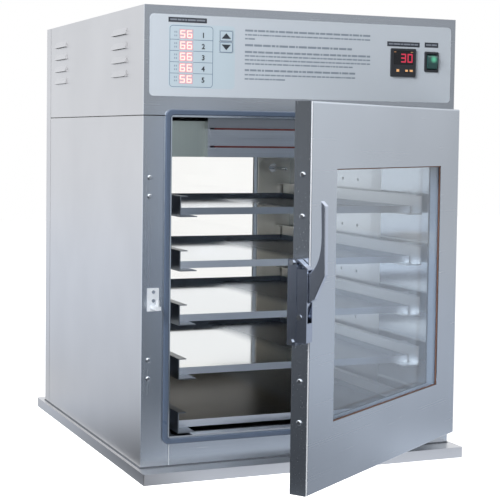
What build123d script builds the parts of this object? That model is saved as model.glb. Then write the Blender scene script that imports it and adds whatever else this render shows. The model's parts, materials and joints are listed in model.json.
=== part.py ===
from build123d import *
import math
import os

# Dry heat sterilizer cabinet: an insulated steel chamber with a side-hinged glazed door.
# Frame: +Z up, -Y is the front, +X is to the right seen from the front.
# Origin: centre of the base tray's underside. All lengths are in millimetres.

# ---- cabinet -------------------------------------------------------------------------
cabinet_width = 570.0
cabinet_depth = 600.0
body_height = 567.0            # deck of the base tray to the seam below the hood
hood_height = 175.0            # seam to the top
sheet = 1.5                    # outer sheet metal
seam_gap = 1.5                 # shadow gap between neighbouring panels
back_return = 30.0             # how far the back panel wraps round the sides
frame_return = 16.0            # folded edge of the front frame behind its face
joint_line_width = 0.8         # weld line between the columns and the sill
joint_line_depth = 0.5
fit_gap = 0.5                  # assembly clearance between sheet metal pieces

base_height = 18.0
base_side_overhang = 8.0
base_front_overhang = 40.0
base_rear_overhang = 32.0
base_return = 14.0             # flange under the rim that rests on the bench
base_corner = 3.0

# ---- chamber -------------------------------------------------------------------------
side_wall = 48.0               # cabinet side to the chamber's inner side
floor_wall = 49.0              # deck to the chamber floor
lintel = 2.0                   # chamber ceiling below the seam
rear_wall = 30.0
liner_sheet = 1.5
roof_insulation = 28.0
rear_window_margin = 73.0      # chamber's sides and floor to the rear window
rear_window_drop = 4.0         # duct's underside to the rear window's upper edge
gasket_width = 9.0
gasket_margin = 3.0            # chamber opening to the gasket's inner edge
gasket_proud = 4.3             # gasket beyond the liner flange
gasket_corner = 10.0
flange_thickness = 1.2

# ---- rails and shelves ---------------------------------------------------------------
shelf_count = 5
shelf_pitch = 88.0
first_rail_height = 3.0        # chamber floor to the lowest rail
rail_offset = 18.0             # chamber wall to the rail's web
rail_height = 34.0
rail_sheet = 1.5
rail_top_flange = 12.0
rail_bottom_flange = 28.0
rail_front_inset = 3.0
rail_rear_inset = 6.0
rail_tab_inset = 70.0         # rail's ends to the tabs that hold it off the wall
shelf_sheet = 1.2
shelf_rim = 10.5                 # rim above the shelf's floor
shelf_side_gap = 0.8
shelf_front_inset = 38.0
shelf_rear_inset = 4.0
shelf_corner = 2.0
guide_front_inset = 180.0      # chamber opening to the air guides' front edge
guide_thickness = 3.0          # guides stand this far from the side walls
guide_bevel = 33.0
guide_hole_radius = 3.0
guide_hole_inset = 54.0        # bevel to the first column of air holes
guide_hole_pitch = 62.0
guide_hole_rise = 52.0         # each rail's underside to its row of air holes

# ---- air circulation -----------------------------------------------------------------
duct_height = 64.0
duct_left_gap = 64.0           # chamber wall to the duct's open left end
duct_front_inset = 6.0
duct_rear_inset = 20.0
duct_sheet = 1.2
slot_height = 3.0
upper_slot_drop = 18.0         # chamber ceiling to the upper slot's middle
lower_slot_drop = 47.0
slot_end_margin = 4.0
lip_depth = 2.0
lip_height = 13.0
element_radius = 4.0
element_front_gap = 16.0
element_span = 34.0            # distance between the two legs of one element
element_end_gap = 30.0
fan_shift = 20.0               # fan axis to the right of the cabinet's middle
fan_front_distance = 290.0     # cabinet front to the fan axis
impeller_radius = 72.0
impeller_height = 26.0
impeller_ceiling_gap = 14.0
impeller_hub_radius = 14.0
impeller_disc = 2.0
blade_count = 8
blade_thickness = 1.5
shaft_radius = 4.0
shaft_clearance = 0.08
shaft_opening_radius = 8.0
shaft_engagement = 24.0
inlet_radius = 60.0
probe_radius = 3.0
probe_length = 70.0
probe_height_below_ceiling = 95.0
probe_right_distance = 40.0
probe_flange_radius = 9.0
probe_flange = 2.0

# ---- door ----------------------------------------------------------------------------
door_latch_margin = 26.5       # cabinet's left side to the closed door's free edge
door_bottom = 26.0             # deck to the door's lower edge
door_rise = 19.0               # door's upper edge above the seam
door_thickness = 28.0
door_gap = 6.0                 # closed door's back to the cabinet's front
door_rest_angle = 35.0         # opened this far in the modelled pose
skin_sheet = 1.2
skin_depth = 25.0
skin_bend = 3.0                # outside radius of the folds round the door's face
hinge_edge_gap = 7.5           # door edge to the hinge axis
hinge_axis_stand = 10.0        # hinge axis in front of the cabinet's front
hinge_axis_inset = 16.0        # hinge axis from the cabinet's right side
window_side_margin = 76.0
window_bottom_margin = 95.0
window_top_margin = 96.0
glass_thickness = 5.0
glass_lap = 12.0               # how far each pane reaches behind the skin
seal_thickness = 1.5
seal_show = 1.6                # seal seen inside the window's edge
pane_clearance = 0.3
door_fill_gap = 0.5

# ---- hinges --------------------------------------------------------------------------
lower_hinge_rise = 160.0           # its centre above the deck
upper_hinge_drop = 114.0           # its centre below the seam
hinge_length = 75.0
knuckle_radius = 5.0
pin_radius = 3.0
pin_running_gap = 0.08
knuckle_gap = 0.5
leaf_thickness = 2.0
fixed_leaf_margin = 1.0            # leaf edge to the cabinet's right side
fixed_screw_spacing = 30.0
door_screw_spacing = 59.0
door_screw_inset = 14.0            # front face of the door to its edge screws
column_plug_inset = 11.5           # cabinet side to the plugs in the left column
screw_head_radius = 4.2
screw_head_height = 2.4
screw_shank_radius = 2.4
screw_shank_length = 5.0
screw_hole_gap = 0.1
screw_room = 1.0                   # free space past a shank's end

# ---- latch ---------------------------------------------------------------------------
case_plate = 2.0
case_channel = 12.5                # free width for the lever
case_wall = 2.5
case_rib = 1.0                     # rear rib stands out from the wall
case_front = 5.0                   # case in front of the door's face
case_depth = 31.0
case_rib_depth = 14.5
case_drop = 40.0                   # its lower end below the lever's pivot
case_height = 122.0
case_block = 9.0
case_lip_height = 32.0
case_lip = 1.5
case_slope = 14.0                  # drop of the sloped cover at the top
lever_thickness = 10.0
lever_pivot_height = 257.0         # above the door's lower edge
lever_pivot_depth = 7.0            # behind the door's face
lever_hub_radius = 6.0
lever_pin_radius = 2.5
lever_pin_gap = 0.1
lever_pin_head_radius = 4.0
lever_pin_head = 1.5
lever_root_height = 20.0           # pivot to the wing's lower root
lever_wing_height = 61.0           # pivot to the wing's outer lower corner
lever_inner_height = 83.0          # pivot to the finger side's lower corner
lever_top_height = 164.0           # pivot to the grip's top
grip_standoff = 22.5               # door face to the grip's inner side
grip_depth = 7.0
hook_reach = 15.0                  # pivot to the back of the hook
hook_nose = 6.0
hook_drop = 13.0                   # pivot to the nose's lower end
hook_arm_drop = 5.0                # pivot to the arm's underside
hook_arm_rise = 6.0
keeper_width = 19.0
keeper_height = 37.0
keeper_plate = 2.5
keeper_tongue_drop = 19.0          # pivot to the tongue's top
keeper_tongue_thickness = 6.0
keeper_tongue_width = 8.8
keeper_tongue_length = 28.0
keeper_plate_drop = 4.0            # plate reaches this far below the tongue
keeper_pin_radius = 3.0
keeper_pin_height = 10.0
keeper_screw_spacing = 14.0
keeper_screw_radius = 1.5
keeper_screw_head_radius = 2.8
keeper_screw_head = 0.8
keeper_screw_length = 5.0
bolt_radius = 4.0
bolt_height = 3.0
bolt_inset = 5.0

# ---- control panel, measured from the seam and from the cabinet's nearer side --------
membrane_side_margin = 9.0
membrane_bottom = 31.0
membrane_height = 130.0
membrane_thickness = 0.8
membrane_corner = 7.0
display_left = 58.5
display_width = 24.0
display_bottom = 51.0
display_pitch = 17.9
display_height = 15.8
display_count = 5
display_depth = 9.0
display_recess = 0.3
key_block_left = 127.6
key_width = 23.5
key_height = 17.5
key_block_bottom = 103.0
key_split = 0.8
key_proud = 0.6
key_stem_radius = 3.0
key_stem_length = 6.0
key_travel = 0.6
key_clearance = 0.3
controller_right = 80.0
controller_bottom = 73.5
controller_size = 48.0
controller_bezel = 3.5
controller_body = 44.6
controller_depth = 78.0
controller_window_width = 38.0
controller_window_height = 24.0
controller_window_rise = 20.5      # bezel's lower edge to the window
controller_window_recess = 1.2
controller_key_width = 7.5
controller_key_height = 5.5
controller_key_shifts = (-11.5, 5.5, 14.5)
controller_key_rise = 10.5         # bezel's lower edge to the keys' middle
controller_key_proud = 0.8
switch_right = 34.0
switch_bottom = 83.0
switch_width = 27.5
switch_height = 35.0
switch_bezel = 2.2
switch_body_width = 22.0
switch_body_height = 30.0
switch_body_depth = 30.0
rocker_half_width = 9.5
rocker_radius = 13.0
rocker_pivot_depth = 3.0           # behind the fascia
rocker_angle = 10.0
rocker_stand = 10.5                # pivot to the rocker's ridge
rocker_depth = 4.0                 # pivot to the rocker's back
rocker_clearance = 0.4

# ---- louvres, measured from the seam and from the cabinet's front --------------------
louvre_rows = 4
louvre_bottom = 70.0
louvre_pitch = 23.0
louvre_front_margin = 88.0
louvre_back_margin = 71.0
louvre_length = 76.0
louvre_height = 11.0
louvre_proud = 4.5
louvre_sheet = 1.2
back_vent_columns = 7
back_vent_rows = 4
back_vent_pitch_x = 34.0
back_vent_pitch_z = 14.0
back_vent_length = 26.0
back_vent_width = 5.0
back_vent_height = 92.0            # seam to the vents' middle

# ---- electronics bay -----------------------------------------------------------------
bay_sheet = 1.5
motor_radius = 42.0
motor_height = 62.0
motor_flange_radius = 52.0
motor_flange = 4.0
motor_rim = 3.0
board_width = 150.0
board_depth = 1.6
board_height = 100.0
board_left = 30.0
board_front_gap = 16.0
board_rise = 10.0
chip_size = 14.0
chip_height = 3.0
supply_size = (110.0, 160.0, 40.0)
supply_left = 40.0
supply_front_distance = 300.0
sink_base = 6.0
sink_fin_height = 34.0
sink_fin_count = 9
sink_fin_thickness = 1.8
sink_length = 80.0
sink_width = 100.0
sink_left = 430.0
sink_front_distance = 300.0
gland_radius = 9.0
gland_bore_radius = 4.0
gland_length = 18.0
gland_nut_radius = 12.0
gland_nut = 6.0
gland_height = 55.0                # above the seam
gland_right_distance = 70.0
back_screw_inset = 12.0
back_screw_rows = 4

# ---- places worked out from the sizes ------------------------------------------------
base_width = cabinet_width + 2 * base_side_overhang
base_depth = cabinet_depth + base_front_overhang + base_rear_overhang
x_left = -cabinet_width / 2
x_right = cabinet_width / 2
y_front = -base_depth / 2 + base_front_overhang
y_back = y_front + cabinet_depth
z_deck = base_height
z_seam = z_deck + body_height
z_top = z_seam + hood_height
y_groove = y_back - back_return

chamber_width = cabinet_width - 2 * side_wall
chamber_height = body_height - floor_wall - lintel
chamber_depth = cabinet_depth - rear_wall
x_wall = chamber_width / 2
z_floor = z_deck + floor_wall
z_ceiling = z_seam - lintel
z_chamber_mid = (z_floor + z_ceiling) / 2
y_chamber_back = y_front + chamber_depth
z_bay = z_ceiling + liner_sheet + roof_insulation
bay_top = z_bay + bay_sheet

x_rear_window = x_wall - rear_window_margin
z_rear_window = z_floor + rear_window_margin
x_rear_pane = x_rear_window + glass_lap

x_web = x_wall - rail_offset
rail_zs = [z_floor + first_rail_height + i * shelf_pitch for i in range(shelf_count)]
shelf_rise = rail_sheet + shelf_sheet + shelf_rim
x_fan = fan_shift
y_fan = y_front + fan_front_distance
z_duct = z_ceiling - duct_height
z_rear_top = z_duct - rear_window_drop
x_duct_left = -x_wall + duct_left_gap
x_duct_right = x_wall - fit_gap
y_duct_front = y_front + duct_front_inset
y_duct_back = y_chamber_back - duct_rear_inset

door_width = cabinet_width - door_latch_margin - hinge_edge_gap - hinge_axis_inset
door_height = body_height + door_rise - door_bottom
x_hinge = x_right - hinge_axis_inset
y_hinge = y_front - hinge_axis_stand
hinge_axis_depth = door_gap + door_thickness - hinge_axis_stand
door_swing = Location((x_hinge, y_hinge, 0)) * Location((0, 0, 0), (0, 0, door_rest_angle))
x_free_closed = x_hinge - hinge_edge_gap - door_width
y_face_closed = y_front - door_gap - door_thickness
z_door = z_deck + door_bottom
door_origin = Location((x_free_closed - x_hinge, y_face_closed - y_hinge, z_door))

front = Plane(origin=(0, y_front, 0), x_dir=(1, 0, 0), z_dir=(0, -1, 0))
closed_front = Plane(origin=(0, 0, 0), x_dir=(1, 0, 0), z_dir=(0, -1, 0))
closed_section = Plane(origin=(0, 0, 0), x_dir=(1, 0, 0), z_dir=(0, 0, 1))
closed_side = Plane(origin=(0, 0, 0), x_dir=(0, -1, 0), z_dir=(-1, 0, 0))
# Planes on the door at its lower free corner: its face, a level section and its free edge.
door_front = Plane(door_swing * door_origin * closed_front.location)
door_section = Plane(door_swing * door_origin * closed_section.location)
door_edge = Plane(door_swing * door_origin * closed_side.location)

window_width = door_width - 2 * window_side_margin
window_height = door_height - window_bottom_margin - window_top_margin
window_x = door_width / 2
window_y = window_bottom_margin + window_height / 2

os.makedirs("parts", exist_ok=True)


def block(x0, x1, y0, y1, z0, z1, mode=Mode.ADD):
    """Box between two corners, in the part that is being built."""
    with Locations(((x0 + x1) / 2, (y0 + y1) / 2, (z0 + z1) / 2)):
        Box(x1 - x0, y1 - y0, z1 - z0, mode=mode)


def patch(x0, x1, y0, y1, mode=Mode.ADD):
    """Rectangle between two corners, in the sketch that is being drawn."""
    with Locations(((x0 + x1) / 2, (y0 + y1) / 2)):
        Rectangle(x1 - x0, y1 - y0, mode=mode)


def save(piece, name):
    """Label a finished piece and write its STEP file."""
    piece.part.label = name
    export_step(piece.part, f"parts/{name}.step")


def domed_screws(plane, points):
    """Domed screw heads on a plane, each with its shank below the plane."""
    with BuildPart() as screws:
        with BuildSketch(plane):
            with Locations(*points):
                Circle(screw_head_radius)
        extrude(amount=screw_head_height)
        tops = screws.faces().filter_by(GeomType.PLANE).filter_by(
            lambda face: abs(plane.to_local_coords(face.center()).Z - screw_head_height) < fit_gap)
        fillet(tops.edges(), screw_head_height * 0.8)
        with BuildSketch(plane):
            with Locations(*points):
                Circle(screw_shank_radius)
        extrude(amount=-screw_shank_length)
    return screws


# ---- base ----------------------------------------------------------------------------
with BuildPart() as base_tray:
    with BuildSketch(Plane.XY):
        Rectangle(base_width, base_depth)
    extrude(amount=base_height)
    fillet(base_tray.edges().filter_by(Axis.Z), base_corner)
    with BuildSketch(Plane.XY):
        Rectangle(base_width - 2 * sheet, base_depth - 2 * sheet)
    extrude(amount=base_height - sheet, mode=Mode.SUBTRACT)
    with BuildSketch(Plane.XY):
        Rectangle(base_width - sheet, base_depth - sheet)
        Rectangle(base_width - 2 * base_return, base_depth - 2 * base_return, mode=Mode.SUBTRACT)
    extrude(amount=sheet)
save(base_tray, "base_tray")

# ---- outer panels --------------------------------------------------------------------
z_body_top = z_seam - seam_gap / 2
z_hood_bottom = z_seam + seam_gap / 2
y_skin = y_front + sheet

with BuildPart() as left_side_panel:
    block(x_left, x_left + sheet, y_skin, y_groove - seam_gap, z_deck, z_body_top)
save(left_side_panel, "left_side_panel")

with BuildPart() as right_side_panel:
    block(x_right - sheet, x_right, y_skin, y_groove - seam_gap, z_deck, z_body_top)
save(right_side_panel, "right_side_panel")

back_screw_pitch = (z_top - z_deck - 2 * back_screw_inset) / (back_screw_rows - 1)
back_screw_points = [
    (side * (cabinet_width / 2 - back_screw_inset), z_deck + back_screw_inset + i * back_screw_pitch)
    for side in (-1, 1) for i in range(back_screw_rows)]
back = Plane(origin=(0, y_back, 0), x_dir=(-1, 0, 0), z_dir=(0, 1, 0))
x_gland = -(x_right - gland_right_distance)
z_gland = z_seam + gland_height

with BuildPart() as back_panel:
    block(x_left, x_right, y_groove, y_back, z_deck, z_top)
    block(x_left + sheet, x_right - sheet, y_groove, y_back - sheet, z_deck, z_top - sheet,
          mode=Mode.SUBTRACT)
    block(-x_rear_window, x_rear_window, y_back - sheet, y_back, z_rear_window, z_rear_top, mode=Mode.SUBTRACT)
    with BuildSketch(back):
        with Locations((0, z_seam + back_vent_height)):
            with GridLocations(back_vent_pitch_x, back_vent_pitch_z, back_vent_columns, back_vent_rows):
                SlotOverall(back_vent_length, back_vent_width)
        with Locations((x_gland, z_gland)):
            Circle(gland_radius)
        with Locations(*back_screw_points):
            Circle(screw_shank_radius + screw_hole_gap)
    extrude(amount=-sheet, mode=Mode.SUBTRACT)
save(back_panel, "back_panel")

back_screws = domed_screws(back, back_screw_points)
save(back_screws, "back_screws")

# ---- front frame ---------------------------------------------------------------------
x_opening = x_wall + liner_sheet + fit_gap
z_opening = z_floor - liner_sheet - fit_gap
hinge_zs = [z_deck + lower_hinge_rise, z_seam - upper_hinge_drop]
x_fixed_screw = x_right - (hinge_axis_inset - knuckle_radius) / 2
column_points = [(side * x, z + offset)
                 for side, x in ((-1, x_right - column_plug_inset), (1, x_fixed_screw))
                 for z in hinge_zs for offset in (-fixed_screw_spacing / 2, fixed_screw_spacing / 2)]

# The keeper stands where the middle of the closed latch case comes to rest.
z_pivot = z_door + lever_pivot_height
x_keeper = x_free_closed - case_plate - case_channel / 2
z_tongue = z_pivot - keeper_tongue_drop
z_keeper = z_tongue - keeper_tongue_thickness - keeper_plate_drop
keeper_screw_points = [(x_keeper, z_tongue + keeper_screw_spacing * step) for step in (0.5, 1.5)]

with BuildPart() as front_frame:
    with BuildSketch(front):
        patch(x_left, x_right, z_deck, z_body_top)
        patch(-x_opening, x_opening, z_opening, z_body_top, mode=Mode.SUBTRACT)
    extrude(amount=-sheet)
    for side in (-1, 1):
        x_outer = side * (x_right - sheet)
        x_inner = x_outer - side * sheet
        block(min(x_outer, x_inner), max(x_outer, x_inner), y_front, y_front + frame_return,
              z_deck, z_body_top)
    with BuildSketch(front):
        for side in (-1, 1):
            x_line = side * x_opening
            patch(x_line - joint_line_width / 2, x_line + joint_line_width / 2, z_deck,
                  z_opening - gasket_margin)
    extrude(amount=-joint_line_depth, mode=Mode.SUBTRACT)
    with BuildSketch(front):
        with Locations(*column_points):
            Circle(screw_shank_radius + screw_hole_gap)
        with Locations(*keeper_screw_points):
            Circle(keeper_screw_radius + screw_hole_gap)
    extrude(amount=-screw_shank_length, mode=Mode.SUBTRACT)
save(front_frame, "front_frame")

# ---- hood ----------------------------------------------------------------------------
louvre_zs = [z_seam + louvre_bottom + i * louvre_pitch for i in range(louvre_rows)]
louvre_starts = (louvre_front_margin, cabinet_depth - louvre_back_margin - louvre_length)
louvre_half = louvre_height / 2


def louvre_section(side, outer, top):
    """Wedge sections of one column of louvres, widest at the lower edge, in the current sketch."""
    for z in louvre_zs:
        Polygon((side * (x_right - 2 * sheet), z + top), (side * x_right, z + top),
                (side * (x_right + outer), z - louvre_half),
                (side * (x_right - 2 * sheet), z - louvre_half), align=None)


with BuildPart() as hood_cover:
    block(x_left, x_right, y_skin, y_groove - seam_gap, z_hood_bottom, z_top)
    for side in (-1, 1):
        for start in louvre_starts:
            with BuildSketch(Plane.XZ.offset(-(y_front + start))):
                louvre_section(side, louvre_proud, louvre_half)
            extrude(amount=-louvre_length)
    block(x_left + sheet, x_right - sheet, y_skin, y_groove - seam_gap, z_hood_bottom, z_top - sheet,
          mode=Mode.SUBTRACT)
    for side in (-1, 1):
        for start in louvre_starts:
            with BuildSketch(Plane.XZ.offset(-(y_front + start + louvre_sheet))):
                louvre_section(side, louvre_proud - louvre_sheet, louvre_half - 2 * louvre_sheet)
            extrude(amount=-(louvre_length - 2 * louvre_sheet), mode=Mode.SUBTRACT)
save(hood_cover, "hood_cover")

# ---- places of the controls ----------------------------------------------------------
x_display = x_left + display_left + display_width / 2
display_zs = [z_seam + display_bottom + display_height / 2 + i * display_pitch
              for i in range(display_count)]
x_key = x_left + key_block_left + key_width / 2
z_key_down = z_seam + key_block_bottom + key_height / 2
z_key_up = z_key_down + key_height + key_split
x_controller = x_right - controller_right - controller_size / 2
z_controller = z_seam + controller_bottom + controller_size / 2
x_switch = x_right - switch_right - switch_width / 2
z_switch = z_seam + switch_bottom + switch_height / 2
key_half_width = key_width / 2 + key_clearance
key_half_height = key_height / 2 + key_clearance


def control_cutouts(gap):
    """Openings of the displays, the controller and the switch, in the current sketch."""
    with Locations(*[(x_display, z) for z in display_zs]):
        Rectangle(display_width + 2 * gap, display_height + 2 * gap)
    with Locations((x_controller, z_controller)):
        Rectangle(controller_body + 2 * gap, controller_body + 2 * gap)
    with Locations((x_switch, z_switch)):
        Rectangle(switch_body_width + 2 * gap, switch_body_height + 2 * gap)


with BuildPart() as fascia:
    block(x_left, x_right, y_front, y_skin, z_hood_bottom, z_top)
    block(x_left + 2 * sheet, x_right - 2 * sheet, y_skin, y_front + frame_return,
          z_top - 2 * sheet, z_top - sheet)
    with BuildSketch(front):
        control_cutouts(fit_gap)
        with Locations((x_key, z_key_down), (x_key, z_key_up)):
            Circle(key_stem_radius + key_clearance)
    extrude(amount=-sheet, mode=Mode.SUBTRACT)
save(fascia, "fascia")

z_membrane = z_seam + membrane_bottom
with BuildPart() as membrane_panel:
    with BuildSketch(front):
        with Locations((0, z_membrane + membrane_height / 2)):
            RectangleRounded(cabinet_width - 2 * membrane_side_margin, membrane_height, membrane_corner)
    extrude(amount=membrane_thickness)
    with BuildSketch(front):
        control_cutouts(fit_gap)
        with Locations((x_key, (z_key_down + z_key_up) / 2)):
            Rectangle(2 * key_half_width, z_key_up - z_key_down + 2 * key_half_height)
    extrude(amount=membrane_thickness, mode=Mode.SUBTRACT)
save(membrane_panel, "membrane_panel")

with BuildPart() as timer_displays:
    with BuildSketch(front.offset(membrane_thickness - display_recess)):
        with Locations(*[(x_display, z) for z in display_zs]):
            Rectangle(display_width, display_height)
    extrude(amount=-display_depth)
save(timer_displays, "timer_displays")

for key_name, z_key in (("timer_up_key", z_key_up), ("timer_down_key", z_key_down)):
    with BuildPart() as timer_key:
        with BuildSketch(front.offset(key_travel)):
            with Locations((x_key, z_key)):
                RectangleRounded(key_width, key_height, key_stem_radius / 2)
        extrude(amount=membrane_thickness)
        fillet(timer_key.faces().sort_by(Axis.Y)[0].edges(), key_proud / 3)
        with BuildSketch(front.offset(key_travel)):
            with Locations((x_key, z_key)):
                Circle(key_stem_radius)
        extrude(amount=-key_stem_length)
    save(timer_key, key_name)

# ---- temperature controller ----------------------------------------------------------
controller_low = z_seam + controller_bottom
z_controller_window = controller_low + controller_window_rise + controller_window_height / 2
z_controller_keys = controller_low + controller_key_rise
controller_key_xs = [x_controller + shift for shift in controller_key_shifts]
bezel_face = membrane_thickness + controller_bezel

with BuildPart() as controller_housing:
    with BuildSketch(front.offset(membrane_thickness)):
        with Locations((x_controller, z_controller)):
            RectangleRounded(controller_size, controller_size, controller_bezel / 2)
    extrude(amount=controller_bezel)
    with BuildSketch(front.offset(membrane_thickness)):
        with Locations((x_controller, z_controller)):
            Rectangle(controller_body, controller_body)
    extrude(amount=-controller_depth)
    with BuildSketch(front.offset(bezel_face)):
        with Locations((x_controller, z_controller_window)):
            Rectangle(controller_window_width, controller_window_height)
    extrude(amount=-controller_bezel, mode=Mode.SUBTRACT)
    with BuildSketch(front.offset(bezel_face)):
        with Locations(*[(x, z_controller_keys) for x in controller_key_xs]):
            Rectangle(controller_key_width + 2 * key_clearance, controller_key_height + 2 * key_clearance)
    extrude(amount=-(controller_bezel + key_travel), mode=Mode.SUBTRACT)
save(controller_housing, "controller_housing")

with BuildPart() as controller_window:
    with BuildSketch(front.offset(bezel_face - controller_bezel)):
        with Locations((x_controller, z_controller_window)):
            Rectangle(controller_window_width, controller_window_height)
    extrude(amount=controller_bezel - controller_window_recess)
save(controller_window, "controller_window")

for i, x in enumerate(controller_key_xs):
    with BuildPart() as controller_key:
        with BuildSketch(front.offset(bezel_face + controller_key_proud)):
            with Locations((x, z_controller_keys)):
                Rectangle(controller_key_width, controller_key_height)
        extrude(amount=-(controller_key_proud + controller_bezel))
        fillet(controller_key.faces().sort_by(Axis.Y)[0].edges(), controller_key_proud / 2)
    save(controller_key, f"controller_key_{i + 1}")

# ---- rocker switch -------------------------------------------------------------------
rocker_well_depth = rocker_pivot_depth + rocker_depth + rocker_clearance
with BuildPart() as switch_housing:
    with BuildSketch(front.offset(membrane_thickness)):
        with Locations((x_switch, z_switch)):
            RectangleRounded(switch_width, switch_height, switch_bezel)
    extrude(amount=switch_bezel)
    fillet(switch_housing.faces().sort_by(Axis.Y)[0].edges(), switch_bezel / 2)
    with BuildSketch(front.offset(membrane_thickness)):
        with Locations((x_switch, z_switch)):
            Rectangle(switch_body_width, switch_body_height)
    extrude(amount=-switch_body_depth)
    with BuildSketch(front.offset(membrane_thickness + switch_bezel)):
        with Locations((x_switch, z_switch)):
            Rectangle(2 * (rocker_half_width + rocker_clearance), 2 * (rocker_radius + rocker_clearance))
    extrude(amount=-(membrane_thickness + switch_bezel + rocker_well_depth + rocker_depth),
            mode=Mode.SUBTRACT)
save(switch_housing, "switch_housing")

# The rocker turns about a level axis; two facets meet at its ridge, and the lower one is pressed in.
ridge_tilt = math.radians(rocker_angle)
facet_end = rocker_stand - rocker_radius * math.tan(ridge_tilt)
rocker_plane = Plane(
    Location((x_switch - rocker_half_width, y_front + rocker_pivot_depth, z_switch))
    * Location((0, 0, 0), (rocker_angle, 0, 0))
    * Plane(origin=(0, 0, 0), x_dir=(0, -1, 0), z_dir=(-1, 0, 0)).location)
with BuildPart() as switch_rocker:
    with BuildSketch(rocker_plane):
        Circle(rocker_radius)
        with BuildLine():
            Polyline((-rocker_depth, -rocker_radius), (facet_end, -rocker_radius), (rocker_stand, 0),
                     (facet_end, rocker_radius), (-rocker_depth, rocker_radius), close=True)
        make_face(mode=Mode.INTERSECT)
    extrude(amount=-2 * rocker_half_width)
save(switch_rocker, "switch_rocker")

# ---- electronics bay -----------------------------------------------------------------
x_bay = x_right - sheet - fit_gap
y_bay_back = y_groove - seam_gap
with BuildPart() as bay_floor:
    block(-x_bay, x_bay, y_skin + fit_gap, y_bay_back, z_bay, bay_top)
    with Locations((x_fan, y_fan, bay_top)):
        Hole(shaft_opening_radius)
save(bay_floor, "bay_floor")

with BuildPart() as fan_motor:
    with BuildSketch(Plane.XY.offset(bay_top)):
        with Locations((x_fan, y_fan)):
            Circle(motor_flange_radius)
    extrude(amount=motor_flange)
    with BuildSketch(Plane.XY.offset(bay_top + motor_flange)):
        with Locations((x_fan, y_fan)):
            Circle(motor_radius)
    extrude(amount=motor_height)
    fillet(fan_motor.faces().sort_by(Axis.Z)[-1].edges(), motor_rim)
    with BuildSketch(Plane.XY.offset(bay_top)):
        with Locations((x_fan, y_fan)):
            Circle(shaft_radius + shaft_clearance)
    extrude(amount=shaft_engagement + fit_gap, mode=Mode.SUBTRACT)
save(fan_motor, "fan_motor")

x_board = x_left + board_left
y_board = y_front + board_front_gap
z_board = bay_top + board_rise
with BuildPart() as control_board:
    block(x_board, x_board + board_width, y_board, y_board + board_depth, z_board, z_board + board_height)
    for post_x in (x_board + chip_size / 2, x_board + board_width - chip_size / 2):
        block(post_x - chip_height, post_x + chip_height, y_board, y_board + board_depth, bay_top, z_board)
    with BuildSketch(Plane(origin=(0, y_board + board_depth, 0), x_dir=(-1, 0, 0), z_dir=(0, 1, 0))):
        with Locations((-(x_board + board_width / 2), z_board + board_height / 2)):
            with GridLocations(2 * chip_size, 2 * chip_size, 4, 3):
                Rectangle(chip_size, chip_size)
    extrude(amount=chip_height)
save(control_board, "control_board")

with BuildPart() as power_supply:
    supply_x, supply_y, supply_z = supply_size
    with Locations((x_left + supply_left + supply_x / 2, y_front + supply_front_distance + supply_y / 2,
                    bay_top + supply_z / 2)):
        Box(supply_x, supply_y, supply_z)
    chamfer(power_supply.faces().sort_by(Axis.Z)[-1].edges(), sheet)
    with BuildSketch(Plane.XY.offset(bay_top + supply_z)):
        with Locations((x_left + supply_left + supply_x / 2, y_front + supply_front_distance + supply_y / 2)):
            with GridLocations(chip_size, chip_size, 6, 9):
                Circle(back_vent_width / 2)
    extrude(amount=-sheet, mode=Mode.SUBTRACT)
save(power_supply, "power_supply")

with BuildPart() as relay_heat_sink:
    x_sink = x_left + sink_left
    y_sink = y_front + sink_front_distance
    block(x_sink, x_sink + sink_width, y_sink, y_sink + sink_length, bay_top, bay_top + sink_base)
    with BuildSketch(Plane.XY.offset(bay_top + sink_base)):
        with Locations((x_sink + sink_width / 2, y_sink + sink_length / 2)):
            with GridLocations((sink_width - sink_fin_thickness) / (sink_fin_count - 1), 1,
                               sink_fin_count, 1):
                Rectangle(sink_fin_thickness, sink_length)
    extrude(amount=sink_fin_height)
save(relay_heat_sink, "relay_heat_sink")

with BuildPart() as cable_gland:
    with BuildSketch(back.offset(-(sheet + gland_nut))):
        with Locations((x_gland, z_gland)):
            RegularPolygon(gland_nut_radius, 6)
    extrude(amount=gland_nut)
    with BuildSketch(back.offset(-(sheet + gland_nut))):
        with Locations((x_gland, z_gland)):
            Circle(gland_radius - screw_hole_gap)
    extrude(amount=sheet + gland_nut + gland_length)
    with BuildSketch(back):
        with Locations((x_gland, z_gland)):
            RegularPolygon(gland_nut_radius, 6)
    extrude(amount=gland_nut)
    with BuildSketch(back.offset(-(sheet + gland_nut))):
        with Locations((x_gland, z_gland)):
            Circle(gland_bore_radius)
    extrude(amount=sheet + gland_nut + gland_length, mode=Mode.SUBTRACT)
save(cable_gland, "cable_gland")

# ---- chamber liner and insulation ----------------------------------------------------
flange_reach = gasket_margin + gasket_width
flange_corner = gasket_corner
probe_plane = Plane(origin=(0, y_chamber_back, 0), x_dir=(1, 0, 0), z_dir=(0, -1, 0))
x_probe = x_wall - probe_right_distance
z_probe = z_ceiling - probe_height_below_ceiling

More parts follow.
